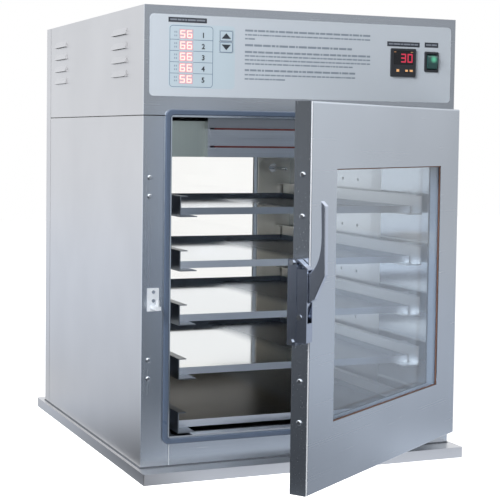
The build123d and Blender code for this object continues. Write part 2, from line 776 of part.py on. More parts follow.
with BuildPart() as chamber_liner:
    block(-x_wall - liner_sheet, x_wall + liner_sheet, y_front, y_chamber_back + liner_sheet,
          z_floor - liner_sheet, z_ceiling + liner_sheet)
    with BuildSketch(front):
        with Locations((0, z_chamber_mid)):
            RectangleRounded(chamber_width + 2 * flange_reach, chamber_height + 2 * flange_reach,
                             flange_corner)
    extrude(amount=flange_thickness)
    block(-x_wall, x_wall, y_front - flange_thickness, y_chamber_back, z_floor, z_ceiling,
          mode=Mode.SUBTRACT)
    block(-x_rear_window, x_rear_window, y_chamber_back, y_chamber_back + liner_sheet, z_rear_window, z_rear_top,
          mode=Mode.SUBTRACT)
    with Locations((x_fan, y_fan, z_ceiling + liner_sheet)):
        Hole(shaft_opening_radius, depth=2 * liner_sheet)
    with BuildSketch(probe_plane.offset(-liner_sheet)):
        with Locations((x_probe, z_probe)):
            Circle(probe_radius + screw_hole_gap)
    extrude(amount=liner_sheet, mode=Mode.SUBTRACT)
save(chamber_liner, "chamber_liner")

x_wool = x_right - 2 * sheet - fit_gap
liner_half = x_wall + liner_sheet + fit_gap
y_wool_front = y_front + frame_return + fit_gap
with BuildPart() as insulation:
    block(-x_wool, x_wool, y_wool_front, y_back - screw_shank_length - screw_room, z_deck, z_bay - fit_gap)
    block(-liner_half, liner_half, y_wool_front, y_chamber_back + liner_sheet + fit_gap,
          z_floor - liner_sheet - fit_gap, z_ceiling + liner_sheet + fit_gap, mode=Mode.SUBTRACT)
    block(-x_rear_pane - fit_gap, x_rear_pane + fit_gap, y_chamber_back, y_back,
          z_rear_window - glass_lap - fit_gap, z_rear_top + glass_lap + fit_gap, mode=Mode.SUBTRACT)
    with Locations((x_fan, y_fan, z_bay)):
        Hole(shaft_opening_radius, depth=2 * roof_insulation)
    with BuildSketch(probe_plane.offset(-rear_wall)):
        with Locations((x_probe, z_probe)):
            Circle(probe_radius + fit_gap)
    extrude(amount=rear_wall, mode=Mode.SUBTRACT)
save(insulation, "insulation")

with BuildPart() as door_gasket:
    with BuildSketch(front.offset(flange_thickness)):
        with Locations((0, z_chamber_mid)):
            RectangleRounded(chamber_width + 2 * flange_reach, chamber_height + 2 * flange_reach,
                             gasket_corner)
            RectangleRounded(chamber_width + 2 * gasket_margin, chamber_height + 2 * gasket_margin,
                             gasket_corner - gasket_width / 2, mode=Mode.SUBTRACT)
    extrude(amount=gasket_proud)
    fillet(door_gasket.faces().sort_by(Axis.Y)[0].edges(), gasket_proud / 2)
save(door_gasket, "door_gasket")

# ---- rear window ---------------------------------------------------------------------
# Two panes behind the rear wall's opening, held apart and clamped between the liner and the back panel.
y_inner_pane = y_chamber_back + liner_sheet
y_outer_pane = y_back - sheet - glass_thickness
z_rear_pane = z_rear_window - glass_lap
z_rear_pane_top = z_rear_top + glass_lap

with BuildPart() as rear_window_panes:
    for y in (y_inner_pane, y_outer_pane):
        block(-x_rear_pane, x_rear_pane, y, y + glass_thickness, z_rear_pane, z_rear_pane_top)
save(rear_window_panes, "rear_window_panes")

with BuildPart() as rear_window_spacer:
    block(-x_rear_pane, x_rear_pane, y_inner_pane + glass_thickness, y_outer_pane, z_rear_pane, z_rear_pane_top)
    block(-x_rear_window, x_rear_window, y_inner_pane, y_outer_pane, z_rear_window, z_rear_top,
          mode=Mode.SUBTRACT)
save(rear_window_spacer, "rear_window_spacer")

# ---- shelf rails ---------------------------------------------------------------------
y_rail_front = y_front + rail_front_inset
y_rail_back = y_chamber_back - rail_rear_inset

y_tab_front = y_rail_front + rail_tab_inset
y_tab_back = y_rail_back - rail_tab_inset
x_guide = x_wall - guide_thickness
y_guide_front = y_front + guide_front_inset
y_guide_flat = y_guide_front + guide_bevel
y_guide_back = y_tab_back - rail_sheet - fit_gap
guide_run = y_guide_back - y_guide_flat - 2 * guide_hole_inset
guide_columns = int(guide_run / guide_hole_pitch) + 1
guide_side = Plane(origin=(x_guide, y_guide_flat + guide_hole_inset, guide_hole_rise), x_dir=(0, 1, 0),
                   z_dir=(1, 0, 0))

# Each side has its rails, and a perforated air guide that lies on the wall behind them.
with BuildPart() as right_rails:
    with BuildSketch(Plane.XY.offset(z_floor + fit_gap)):
        with BuildLine():
            Polyline((x_wall, y_guide_front), (x_guide, y_guide_flat), (x_guide, y_guide_back),
                     (x_wall, y_guide_back), close=True)
        make_face()
    extrude(amount=z_duct - z_floor - 2 * fit_gap)
    with BuildSketch(guide_side):
        with Locations([(i * guide_hole_pitch, z) for i in range(guide_columns) for z in rail_zs]):
            Circle(guide_hole_radius)
    extrude(amount=guide_thickness, mode=Mode.SUBTRACT)
    for z in rail_zs:
        block(x_web, x_web + rail_sheet, y_rail_front, y_rail_back, z, z + rail_height)
        block(x_web - rail_bottom_flange, x_web, y_rail_front, y_rail_back, z, z + rail_sheet)
        block(x_web - rail_top_flange, x_web, y_rail_front, y_rail_back, z + rail_height - rail_sheet,
              z + rail_height)
        block(x_web, x_wall, y_tab_front, y_tab_front + rail_sheet, z, z + rail_height)
        block(x_web, x_wall, y_tab_back - rail_sheet, y_tab_back, z, z + rail_height)
save(right_rails, "right_rails")

with BuildPart() as left_rails:
    mirror(right_rails.part, about=Plane.YZ)
save(left_rails, "left_rails")

# ---- shelves -------------------------------------------------------------------------
shelf_half = x_web - shelf_side_gap
y_shelf_front = y_front + shelf_front_inset
y_shelf_back = y_chamber_back - shelf_rear_inset
for i, z in enumerate(rail_zs):
    z_shelf = z + rail_sheet
    with BuildPart() as shelf:
        block(-shelf_half, shelf_half, y_shelf_front, y_shelf_back, z_shelf, z + shelf_rise)
        fillet(shelf.edges().filter_by(Axis.Z), shelf_corner)
        block(-shelf_half + shelf_sheet, shelf_half - shelf_sheet, y_shelf_front + shelf_sheet,
              y_shelf_back - shelf_sheet, z_shelf + shelf_sheet, z + shelf_rise, mode=Mode.SUBTRACT)
    save(shelf, f"shelf_{i + 1}")

# ---- air circulation -----------------------------------------------------------------
z_upper_slot = z_ceiling - upper_slot_drop
z_lower_slot = z_ceiling - lower_slot_drop
duct_width = x_duct_right - x_duct_left
x_duct = (x_duct_left + x_duct_right) / 2
duct_face = Plane(origin=(0, y_duct_front, 0), x_dir=(1, 0, 0), z_dir=(0, -1, 0))

with BuildPart() as heater_duct:
    block(x_duct_left, x_duct_right, y_duct_front, y_duct_back, z_duct, z_ceiling)
    block(x_duct_left + duct_sheet, x_duct_right - duct_sheet, y_duct_front + duct_sheet,
          y_duct_back - duct_sheet, z_duct + duct_sheet, z_ceiling, mode=Mode.SUBTRACT)
    with BuildSketch(duct_face):
        with Locations((x_duct, z_upper_slot), (x_duct, z_lower_slot)):
            Rectangle(duct_width - 2 * slot_end_margin, slot_height)
    extrude(amount=-duct_sheet, mode=Mode.SUBTRACT)
    with BuildSketch(duct_face):
        with Locations((x_duct, z_upper_slot - (slot_height + lip_height) / 2)):
            Rectangle(duct_width - 2 * slot_end_margin, lip_height)
    extrude(amount=lip_depth)
    with BuildSketch(Plane.XY.offset(z_duct)):
        with Locations((x_fan, y_fan)):
            Circle(inlet_radius)
    extrude(amount=duct_sheet, mode=Mode.SUBTRACT)
save(heater_duct, "heater_duct")

element_left = x_duct_left + element_end_gap
element_right = x_duct_right - duct_sheet - element_end_gap / 2
y_leg_front = y_duct_front + element_front_gap
y_leg_back = y_leg_front + element_span
element_bend = element_span / 2
with BuildPart() as heating_elements:
    for z in (z_upper_slot, z_lower_slot):
        with BuildLine() as hairpin:
            Line((element_right, y_leg_front, z), (element_left + element_bend, y_leg_front, z))
            ThreePointArc((element_left + element_bend, y_leg_front, z),
                          (element_left, (y_leg_front + y_leg_back) / 2, z),
                          (element_left + element_bend, y_leg_back, z))
            Line((element_left + element_bend, y_leg_back, z), (element_right, y_leg_back, z))
        with BuildSketch(Plane(origin=(element_right, y_leg_front, z), z_dir=(-1, 0, 0))):
            Circle(element_radius)
        sweep(path=hairpin.wires()[0])
    block(element_right, x_duct_right - duct_sheet, y_leg_front - element_radius,
          y_leg_back + element_radius, z_duct + duct_sheet + fit_gap, z_ceiling - fit_gap)
save(heating_elements, "heating_elements")

z_impeller_top = z_ceiling - impeller_ceiling_gap
z_impeller = z_impeller_top - impeller_height
shaft_top = bay_top + shaft_engagement
with BuildPart() as fan_impeller:
    with BuildSketch(Plane.XY.offset(z_impeller_top - impeller_disc)):
        with Locations((x_fan, y_fan)):
            Circle(impeller_radius)
    extrude(amount=impeller_disc)
    with BuildSketch(Plane.XY.offset(z_impeller)):
        with Locations((x_fan, y_fan)):
            Circle(impeller_hub_radius)
    extrude(amount=impeller_height)
    with BuildSketch(Plane.XY.offset(z_impeller)):
        with Locations((x_fan, y_fan)):
            blade_length = impeller_radius - impeller_hub_radius
            blade_middle = (impeller_radius + impeller_hub_radius) / 2 - blade_thickness
            with PolarLocations(blade_middle, blade_count):
                Rectangle(blade_length, blade_thickness)
    extrude(amount=impeller_height)
    with BuildSketch(Plane.XY.offset(z_impeller_top)):
        with Locations((x_fan, y_fan)):
            Circle(shaft_radius)
    extrude(amount=shaft_top - z_impeller_top)
save(fan_impeller, "fan_impeller")

with BuildPart() as temperature_probe:
    with BuildSketch(probe_plane.offset(-rear_wall / 2)):
        with Locations((x_probe, z_probe)):
            Circle(probe_radius)
    extrude(amount=rear_wall / 2 + probe_length)
    fillet(temperature_probe.faces().sort_by(Axis.Y)[0].edges(), probe_radius / 2)
    with BuildSketch(probe_plane):
        with Locations((x_probe, z_probe)):
            Circle(probe_flange_radius)
    extrude(amount=probe_flange)
save(temperature_probe, "temperature_probe")

# ---- door ----------------------------------------------------------------------------
door_screw_ys = [z - z_door + offset for z in hinge_zs
                 for offset in (-door_screw_spacing / 2, door_screw_spacing / 2)]
door_normal = Axis(door_front.origin, door_front.z_dir)
# Edge planes: x is forward from the door's face, y is up, and the normal points out of the door.
hinge_side = Plane(door_edge.origin + door_front.x_dir * door_width, x_dir=-door_edge.x_dir,
                   z_dir=-door_edge.z_dir)

with BuildPart() as door_skin:
    with BuildSketch(door_front):
        patch(0, door_width, 0, door_height)
    extrude(amount=-skin_depth)
    face_edges = door_skin.faces().sort_by(door_normal)[-1].edges()
    fillet(face_edges, skin_bend)
    offset(amount=-skin_sheet, openings=door_skin.faces().sort_by(door_normal)[0])
    with BuildSketch(door_front):
        with Locations((window_x, window_y)):
            Rectangle(window_width, window_height)
    extrude(amount=-skin_sheet, mode=Mode.SUBTRACT)
    with BuildSketch(door_edge):
        with Locations(*[(-door_screw_inset, y) for y in door_screw_ys]):
            Circle(screw_shank_radius + screw_hole_gap)
    extrude(amount=-skin_sheet, mode=Mode.SUBTRACT)
    with BuildSketch(hinge_side):
        with Locations(*[(door_screw_inset, y) for y in door_screw_ys]):
            Circle(screw_shank_radius + screw_hole_gap)
    extrude(amount=-skin_sheet, mode=Mode.SUBTRACT)
save(door_skin, "door_skin")

pane_width = window_width + 2 * glass_lap
pane_height = window_height + 2 * glass_lap
seal_back = skin_sheet + seal_thickness
outer_pane_back = seal_back + glass_thickness
pan_front = door_thickness - skin_sheet
inner_pane_back = pan_front
inner_pane_front = inner_pane_back - glass_thickness

with BuildPart() as window_seal:
    with BuildSketch(door_front.offset(-skin_sheet)):
        with Locations((window_x, window_y)):
            Rectangle(pane_width, pane_height)
            Rectangle(window_width - 2 * seal_show, window_height - 2 * seal_show, mode=Mode.SUBTRACT)
    extrude(amount=-seal_thickness)
save(window_seal, "window_seal")

with BuildPart() as window_outer_glass:
    with BuildSketch(door_front.offset(-seal_back)):
        with Locations((window_x, window_y)):
            Rectangle(pane_width, pane_height)
    extrude(amount=-glass_thickness)
save(window_outer_glass, "window_outer_glass")

with BuildPart() as window_spacer:
    with BuildSketch(door_front.offset(-outer_pane_back)):
        with Locations((window_x, window_y)):
            Rectangle(pane_width, pane_height)
            Rectangle(window_width, window_height, mode=Mode.SUBTRACT)
    extrude(amount=-(inner_pane_front - outer_pane_back))
save(window_spacer, "window_spacer")

with BuildPart() as window_inner_glass:
    with BuildSketch(door_front.offset(-inner_pane_front)):
        with Locations((window_x, window_y)):
            Rectangle(pane_width, pane_height)
    extrude(amount=-glass_thickness)
save(window_inner_glass, "window_inner_glass")

with BuildPart() as door_insulation:
    with BuildSketch(door_front.offset(-(skin_sheet + door_fill_gap))):
        edge_gap = skin_sheet + screw_shank_length
        patch(edge_gap, door_width - edge_gap, edge_gap, door_height - edge_gap)
        with Locations((window_x, window_y)):
            Rectangle(pane_width + 2 * pane_clearance, pane_height + 2 * pane_clearance, mode=Mode.SUBTRACT)
    extrude(amount=-(pan_front - skin_sheet - 2 * door_fill_gap))
save(door_insulation, "door_insulation")

with BuildPart() as door_inner_pan:
    with BuildSketch(door_front.offset(-pan_front)):
        patch(0, door_width, 0, door_height)
        with Locations((window_x, window_y)):
            Rectangle(window_width, window_height, mode=Mode.SUBTRACT)
    extrude(amount=-skin_sheet)
    with BuildSketch(door_front.offset(-skin_depth)):
        patch(0, door_width, 0, door_height)
        patch(skin_sheet, door_width - skin_sheet, skin_sheet, door_height - skin_sheet, mode=Mode.SUBTRACT)
    extrude(amount=-(pan_front - skin_depth))
save(door_inner_pan, "door_inner_pan")

# ---- hinges --------------------------------------------------------------------------
knuckle_length = (hinge_length - 2 * knuckle_gap) / 3
knuckle_step = knuckle_length + knuckle_gap
hinge_levels = (("lower", hinge_zs[0]), ("upper", hinge_zs[1]))
fixed_screw_points = column_points[len(column_points) // 2:]
left_column_points = column_points[:len(column_points) // 2]
x_axis_on_door = door_width + hinge_edge_gap

for level, z_hinge in hinge_levels:
    z_low = z_hinge - hinge_length / 2
    with BuildPart() as fixed_leaf:
        block(x_hinge - knuckle_radius, x_right - fixed_leaf_margin, y_front - leaf_thickness, y_front,
              z_low, z_low + hinge_length)
        for z in (z_low, z_low + 2 * knuckle_step):
            with BuildSketch(Plane.XY.offset(z)):
                with Locations((x_hinge, y_hinge)):
                    Circle(knuckle_radius)
                patch(x_hinge - knuckle_radius, x_hinge - knuckle_radius + leaf_thickness, y_hinge, y_front)
                with Locations((x_hinge, y_hinge)):
                    Circle(pin_radius, mode=Mode.SUBTRACT)
            extrude(amount=knuckle_length)
        with BuildSketch(front):
            with Locations(*[point for point in fixed_screw_points if abs(point[1] - z_hinge) < hinge_length]):
                Circle(screw_shank_radius + screw_hole_gap)
        extrude(amount=leaf_thickness, mode=Mode.SUBTRACT)
    save(fixed_leaf, f"hinge_leaf_frame_{level}")

    with BuildPart() as door_leaf:
        with BuildSketch(door_section.offset(z_low - z_door)):
            patch(door_width, door_width + leaf_thickness, leaf_thickness, door_thickness + fit_gap)
        extrude(amount=hinge_length)
        with BuildSketch(door_section.offset(z_low - z_door + knuckle_step)):
            arm_back = hinge_axis_depth + knuckle_radius
            with Locations((x_axis_on_door, hinge_axis_depth)):
                Circle(knuckle_radius)
            patch(door_width, x_axis_on_door, arm_back - leaf_thickness, arm_back)
            with Locations((x_axis_on_door, hinge_axis_depth)):
                Circle(pin_radius + pin_running_gap, mode=Mode.SUBTRACT)
        extrude(amount=knuckle_length)
        with BuildSketch(hinge_side):
            with Locations(*[(door_screw_inset, y) for y in door_screw_ys
                             if abs(y + z_door - z_hinge) < hinge_length]):
                Circle(screw_shank_radius + screw_hole_gap)
        extrude(amount=leaf_thickness, mode=Mode.SUBTRACT)
    save(door_leaf, f"hinge_leaf_door_{level}")

with BuildPart() as hinge_pins:
    for level, z_hinge in hinge_levels:
        with BuildSketch(Plane.XY.offset(z_hinge - hinge_length / 2)):
            with Locations((x_hinge, y_hinge)):
                Circle(pin_radius)
        extrude(amount=hinge_length)
        with BuildSketch(Plane.XY.offset(z_hinge + hinge_length / 2)):
            with Locations((x_hinge, y_hinge)):
                Circle(pin_radius + leaf_thickness / 2)
        extrude(amount=leaf_thickness)
save(hinge_pins, "hinge_pins")

with BuildPart() as door_screws:
    add(domed_screws(door_edge, [(-door_screw_inset, y) for y in door_screw_ys]).part)
    add(domed_screws(hinge_side.offset(leaf_thickness), [(door_screw_inset, y) for y in door_screw_ys]).part)
save(door_screws, "door_screws")

# ---- latch ---------------------------------------------------------------------------
case_back = case_front - case_depth
case_bottom = lever_pivot_height - case_drop
case_top = case_bottom + case_height
case_rib_front = case_back + case_rib_depth
case_outer = case_plate + case_channel + case_wall
lever_inset = (case_channel - lever_thickness) / 2
lever_near = case_plate + lever_inset
pivot = (-lever_pivot_depth, lever_pivot_height)

with BuildPart() as latch_case:
    with BuildSketch(door_edge):
        patch(case_back, case_front, case_bottom + case_block / 2, case_top - case_slope)
        patch(case_back, case_rib_front, case_bottom, case_top)
        with Locations(*[(-door_screw_inset, y) for y in door_screw_ys]):
            Circle(screw_head_radius + fit_gap, mode=Mode.SUBTRACT)
    extrude(amount=case_plate)
    with BuildSketch(door_edge.offset(case_plate + case_channel)):
        patch(case_back, case_front, case_bottom + case_block / 2, case_top - case_slope)
        patch(case_back, case_rib_front, case_bottom, case_top)
    extrude(amount=case_wall)
    with BuildSketch(door_edge.offset(case_outer)):
        patch(case_back, case_rib_front, case_bottom, case_top)
    extrude(amount=case_rib)
    with BuildSketch(door_edge.offset(case_plate)):
        patch(case_back, case_rib_front, case_bottom, case_bottom + case_block)
        patch(case_back, case_rib_front, case_top - case_block, case_top)
        patch(case_front - case_lip, case_front, case_bottom + case_block / 2, case_bottom + case_lip_height)
        with BuildLine():
            Polyline((case_rib_front - case_lip, case_top), (case_front, case_top - case_slope),
                     (case_front, case_top - case_slope - case_lip),
                     (case_front - case_lip, case_top - case_slope - case_lip),
                     (case_rib_front - case_lip, case_top - 2 * case_lip), close=True)
        make_face()
    extrude(amount=case_channel)
    with BuildSketch(door_edge):
        with Locations(pivot):
            Circle(lever_pin_radius)
    extrude(amount=case_outer, mode=Mode.SUBTRACT)
save(latch_case, "latch_case")

with BuildPart() as latch_bolts:
    bolt_x = (case_back + case_rib_front) / 2
    with BuildSketch(door_edge.offset(case_outer + case_rib)):
        with Locations((bolt_x, case_bottom + bolt_inset), (bolt_x, case_top - bolt_inset)):
            RegularPolygon(bolt_radius, 6)
    extrude(amount=bolt_height)
save(latch_bolts, "latch_bolts")

with BuildPart() as lever_pin:
    with BuildSketch(door_edge):
        with Locations(pivot):
            Circle(lever_pin_radius)
    extrude(amount=case_outer)
    with BuildSketch(door_edge.offset(case_outer)):
        with Locations(pivot):
            Circle(lever_pin_head_radius)
    extrude(amount=lever_pin_head)
save(lever_pin, "lever_pin")

lever_y = lever_pivot_height
grip_out = grip_standoff + grip_depth
nose_top = (-lever_pivot_depth - hook_reach, lever_y + hook_arm_rise / 2)
hub_back = (-lever_pivot_depth - lever_hub_radius + 1, lever_y)
hub_front = (-lever_pivot_depth + lever_hub_radius - 1, lever_y)
lever_root = (case_front - 1, lever_y + lever_root_height)
lever_knee = (grip_out / 2, lever_y + lever_root_height + grip_depth)
lever_wing = (grip_out + 1, lever_y + lever_wing_height)
lever_shoulder = (case_front - 2, lever_y + lever_wing_height + 1)
grip_end = (grip_out, lever_y + lever_top_height - grip_depth)
grip_tip = (grip_standoff, lever_y + lever_top_height)
with BuildPart() as latch_lever:
    with BuildSketch(door_edge.offset(lever_near)):
        with BuildLine():
            Polyline(hub_back, hub_front, lever_root, lever_knee, lever_wing, grip_end)
            Line(grip_end, grip_tip)
            Spline(grip_tip, (grip_standoff + 1, lever_y + lever_inner_height + grip_depth * 5),
                   (grip_standoff - 5, lever_y + lever_inner_height - 5), lever_shoulder,
                   tangents=((0, -1), (-1, -0.3)))
            Polyline(lever_shoulder, (-lever_pivot_depth + 2, lever_y + 2 * lever_root_height), hub_back)
        make_face()
        with Locations(pivot):
            Circle(lever_hub_radius)
        with BuildLine():
            Polyline((-lever_pivot_depth, lever_y + lever_hub_radius), nose_top,
                     (nose_top[0], lever_y - hook_drop), (nose_top[0] + hook_nose, lever_y - hook_drop),
                     (nose_top[0] + hook_nose, lever_y - hook_arm_drop),
                     (-lever_pivot_depth, lever_y - hook_arm_drop), close=True)
        make_face()
        with Locations(pivot):
            Circle(lever_pin_radius + lever_pin_gap, mode=Mode.SUBTRACT)
    extrude(amount=lever_thickness)
    grip_edges = latch_lever.edges().filter_by(lambda edge: edge.length > 4 * grip_depth)
    fillet(grip_edges, 1.2)
save(latch_lever, "latch_lever")

# ---- keeper --------------------------------------------------------------------------
with BuildPart() as keeper:
    block(x_keeper - keeper_width / 2, x_keeper + keeper_width / 2, y_front - keeper_plate, y_front,
          z_keeper, z_keeper + keeper_height)
    tongue_half = keeper_tongue_width / 2
    block(x_keeper - tongue_half, x_keeper + tongue_half, y_front - keeper_tongue_length, y_front,
          z_tongue - keeper_tongue_thickness, z_tongue)
    with BuildSketch(Plane.XY.offset(z_tongue)):
        with Locations((x_keeper, y_front - keeper_tongue_length + keeper_pin_radius)):
            Circle(keeper_pin_radius)
    extrude(amount=keeper_pin_height)
    with BuildSketch(front):
        with Locations(*keeper_screw_points):
            Circle(keeper_screw_radius + screw_hole_gap)
    extrude(amount=keeper_plate, mode=Mode.SUBTRACT)
save(keeper, "keeper")

with BuildPart() as frame_screws:
    add(domed_screws(front, left_column_points).part)
    add(domed_screws(front.offset(leaf_thickness), fixed_screw_points).part)
    with BuildSketch(front.offset(keeper_plate)):
        with Locations(*keeper_screw_points):
            Circle(keeper_screw_head_radius)
    extrude(amount=keeper_screw_head)
    with BuildSketch(front.offset(keeper_plate)):
        with Locations(*keeper_screw_points):
            Circle(keeper_screw_radius)
    extrude(amount=-keeper_screw_length)
save(frame_screws, "frame_screws")
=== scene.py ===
import json
import math

import bpy
import numpy as np
from mathutils import Matrix, Vector
from mathutils.geometry import tessellate_polygon
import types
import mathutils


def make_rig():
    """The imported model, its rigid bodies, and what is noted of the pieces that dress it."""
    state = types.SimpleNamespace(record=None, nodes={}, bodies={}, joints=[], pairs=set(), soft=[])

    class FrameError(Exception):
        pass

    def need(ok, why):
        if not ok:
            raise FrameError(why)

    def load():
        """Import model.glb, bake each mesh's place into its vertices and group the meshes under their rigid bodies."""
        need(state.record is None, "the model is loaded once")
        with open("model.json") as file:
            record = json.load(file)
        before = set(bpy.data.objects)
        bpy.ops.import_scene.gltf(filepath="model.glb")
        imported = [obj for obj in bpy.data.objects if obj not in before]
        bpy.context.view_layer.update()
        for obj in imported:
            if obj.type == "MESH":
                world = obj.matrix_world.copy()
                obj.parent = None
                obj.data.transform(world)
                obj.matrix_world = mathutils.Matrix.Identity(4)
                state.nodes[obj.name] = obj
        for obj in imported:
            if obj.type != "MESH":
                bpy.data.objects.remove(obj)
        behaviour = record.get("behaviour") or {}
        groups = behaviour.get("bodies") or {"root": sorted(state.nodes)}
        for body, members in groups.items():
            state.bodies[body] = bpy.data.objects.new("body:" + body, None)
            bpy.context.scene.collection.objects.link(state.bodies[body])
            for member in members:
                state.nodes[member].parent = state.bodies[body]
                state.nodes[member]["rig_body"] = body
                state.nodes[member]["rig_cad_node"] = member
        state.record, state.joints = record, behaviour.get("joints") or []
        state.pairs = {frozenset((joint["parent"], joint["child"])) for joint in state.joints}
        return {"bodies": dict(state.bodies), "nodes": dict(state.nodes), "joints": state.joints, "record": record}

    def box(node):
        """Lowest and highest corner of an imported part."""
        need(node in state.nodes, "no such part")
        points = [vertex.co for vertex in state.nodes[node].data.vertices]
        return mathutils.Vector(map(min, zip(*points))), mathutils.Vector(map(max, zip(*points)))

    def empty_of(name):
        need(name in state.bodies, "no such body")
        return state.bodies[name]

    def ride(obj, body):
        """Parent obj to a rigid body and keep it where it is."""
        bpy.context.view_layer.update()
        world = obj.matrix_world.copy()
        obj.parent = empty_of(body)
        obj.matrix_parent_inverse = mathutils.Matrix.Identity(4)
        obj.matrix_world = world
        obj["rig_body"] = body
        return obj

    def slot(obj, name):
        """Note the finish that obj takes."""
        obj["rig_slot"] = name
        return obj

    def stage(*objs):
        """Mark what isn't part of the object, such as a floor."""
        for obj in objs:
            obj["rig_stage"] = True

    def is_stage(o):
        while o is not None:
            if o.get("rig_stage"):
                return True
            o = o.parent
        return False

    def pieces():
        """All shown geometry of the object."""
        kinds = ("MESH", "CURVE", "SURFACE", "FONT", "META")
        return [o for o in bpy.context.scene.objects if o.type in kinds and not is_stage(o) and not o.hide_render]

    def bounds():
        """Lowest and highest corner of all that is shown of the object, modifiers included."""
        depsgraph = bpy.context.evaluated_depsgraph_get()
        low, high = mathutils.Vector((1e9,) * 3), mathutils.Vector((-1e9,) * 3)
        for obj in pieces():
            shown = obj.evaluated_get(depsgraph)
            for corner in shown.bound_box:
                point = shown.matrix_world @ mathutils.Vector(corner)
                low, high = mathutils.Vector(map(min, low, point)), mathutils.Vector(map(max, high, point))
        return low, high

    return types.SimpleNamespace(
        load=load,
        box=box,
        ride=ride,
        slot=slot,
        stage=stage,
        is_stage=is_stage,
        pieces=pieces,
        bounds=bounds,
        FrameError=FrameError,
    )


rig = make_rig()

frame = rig.load()
cad_low, cad_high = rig.bounds()

bl_info = {
    "name": "Dry Heat Sterilizer",
    "version": (1, 0, 0),
    "blender": (4, 5, 0),
    "location": "View3D > Sidebar > Sterilizer",
    "description": "Finishes, printing and lit numerals of a dry heat sterilizer, and a studio to show it in",
    "category": "Object",
}

MM = 0.001


def colour(code, alpha=1.0):
    """Linear RGBA from an sRGB hex code: c/12.92 below 0.04045, else ((c + 0.055) / 1.055) ** 2.4."""
    c = np.array([int(code[i:i + 2], 16) for i in (1, 3, 5)]) / 255
    low = c <= 0.04045
    linear = np.where(low, c / 12.92, ((c + 0.055) / 1.055) ** 2.4)
    return (*linear.tolist(), alpha)


def colour_prop(name, description, code):
    """A colour that a user can change, with its default as an sRGB hex code."""
    return bpy.props.FloatVectorProperty(
        name=name, description=description, subtype="COLOR", size=4, min=0.0, max=1.0, default=colour(code))


def length_prop(name, description, metres):
    """A length that a user can change, in metres."""
    return bpy.props.FloatProperty(name=name, description=description, unit="LENGTH", default=metres, min=0.0)


# ---- places on the cabinet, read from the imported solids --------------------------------
# The origin of the panel's own measure is the cabinet's lower left front corner.
CABINET_LEFT, CABINET_FRONT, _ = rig.box("fascia")[0]
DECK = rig.box("base_tray")[1][2]
FILM_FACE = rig.box("membrane_panel")[0][1]
# The front frame's two columns begin this far from the cabinet's middle.
COLUMN = 237.0 * MM
# The ground weld between column and bottom rail ends at this height.
WELD_TOP = 60.0 * MM
# The heater duct's upper slot.
DUCT_SLOT = 564.0 * MM
# How far the door stands open at rest.
DOOR_ANGLE = math.radians(35.0)
# The free front corner of the door, turned back by that angle round the frame's origin.
DOOR_FOLD = (-0.4827, -0.429)
DOOR_WIDTH = 520.0 * MM

# ---- places on the control panel, in its own measure ------------------------------------
# Middles of the timers' five rows, from the lowest.
ROW_HEIGHTS = [(625.9 + 17.9 * row) * MM for row in range(5)]
# Lower left and upper right corners of the tinted field and of the ruled table.
TINTED_FIELD = ((40.6 * MM, 611.4 * MM), (154.9 * MM, 713.0 * MM))
TIMER_TABLE = ((42.6 * MM, 613.3 * MM), (116.2 * MM, 710.5 * MM))
# Left edges of the timers' and of the controller's digits.
TIMER_DIGITS = (60.2 * MM, 71.8 * MM)
CONTROLLER_DIGITS = (461.2 * MM, 474.0 * MM)
# Middles of the controller's digits and of its two small lamps.
CONTROLLER_MIDDLE = 672.4 * MM
CONTROLLER_LAMPS = [(449.5 * MM, 682.6 * MM), (482.5 * MM, 682.6 * MM)]
# Dark bars above the timers, the controller and the switch: left, right, bottom and top.
LABEL_BARS = np.array([[39.8, 105.5, 715.8, 723.7],
                       [435.4, 498.7, 691.8, 700.0],
                       [508.6, 535.6, 692.2, 700.8]]) * MM
# Lines of the directions: height and right end in millimetres, and weight. Each paragraph's first line is boldest.
DIRECTIONS_LEFT = 172.5 * MM
DIRECTIONS = [(707.5, 402.5, 1.35), (700.6, 402.5, 1.0), (694.2, 190.0, 1.0), (683.8, 368.0, 1.45),
              (672.8, 403.0, 1.35), (666.4, 403.0, 1.0), (660.0, 403.0, 1.0), (653.6, 370.0, 1.0),
              (643.2, 375.0, 1.35), (635.8, 375.0, 1.0), (629.0, 245.0, 1.0)]

# ---- grain of the materials --------------------------------------------------------------
# Belt marks on brushed sheet, per metre: 3 mm apart across the belt's run, 250 mm long along it.
BELT_ACROSS, BELT_ALONG = 330.0, 4.0
BELT_UPRIGHT = (BELT_ACROSS, BELT_ACROSS, BELT_ALONG)
# Noise keeps mostly to the first span, and the second brings out its patches.
NOISE_SPAN, BROWNED_SPAN = (0.3, 0.7), (0.35, 0.65)
# A rolled sheet's waves, per metre, and how deep waves and moulded grain are.
SHEET_RIPPLE = 16.0
RIPPLE_DEPTH, GRAIN_DEPTH = 4.0 * MM, 0.1 * MM
# How metallic the pale ground weld and the door fold's painted highlight look beside bare sheet.
PALE_METALLIC = 0.3

# ---- studio -------------------------------------------------------------------------------
FLOOR_SIZE = 12.0
SOFTBOX_SIZE = 1.4
SENSOR_WIDTH = 36.0
CAMERA_PLACE = (-0.97491, -2.32856, 0.55234)
# The camera's yaw to the right, its pitch down and its roll.
CAMERA_TURN = np.radians([22.36, 2.98, -0.72])
CAMERA_SHIFT = (0.04436, -0.08598)


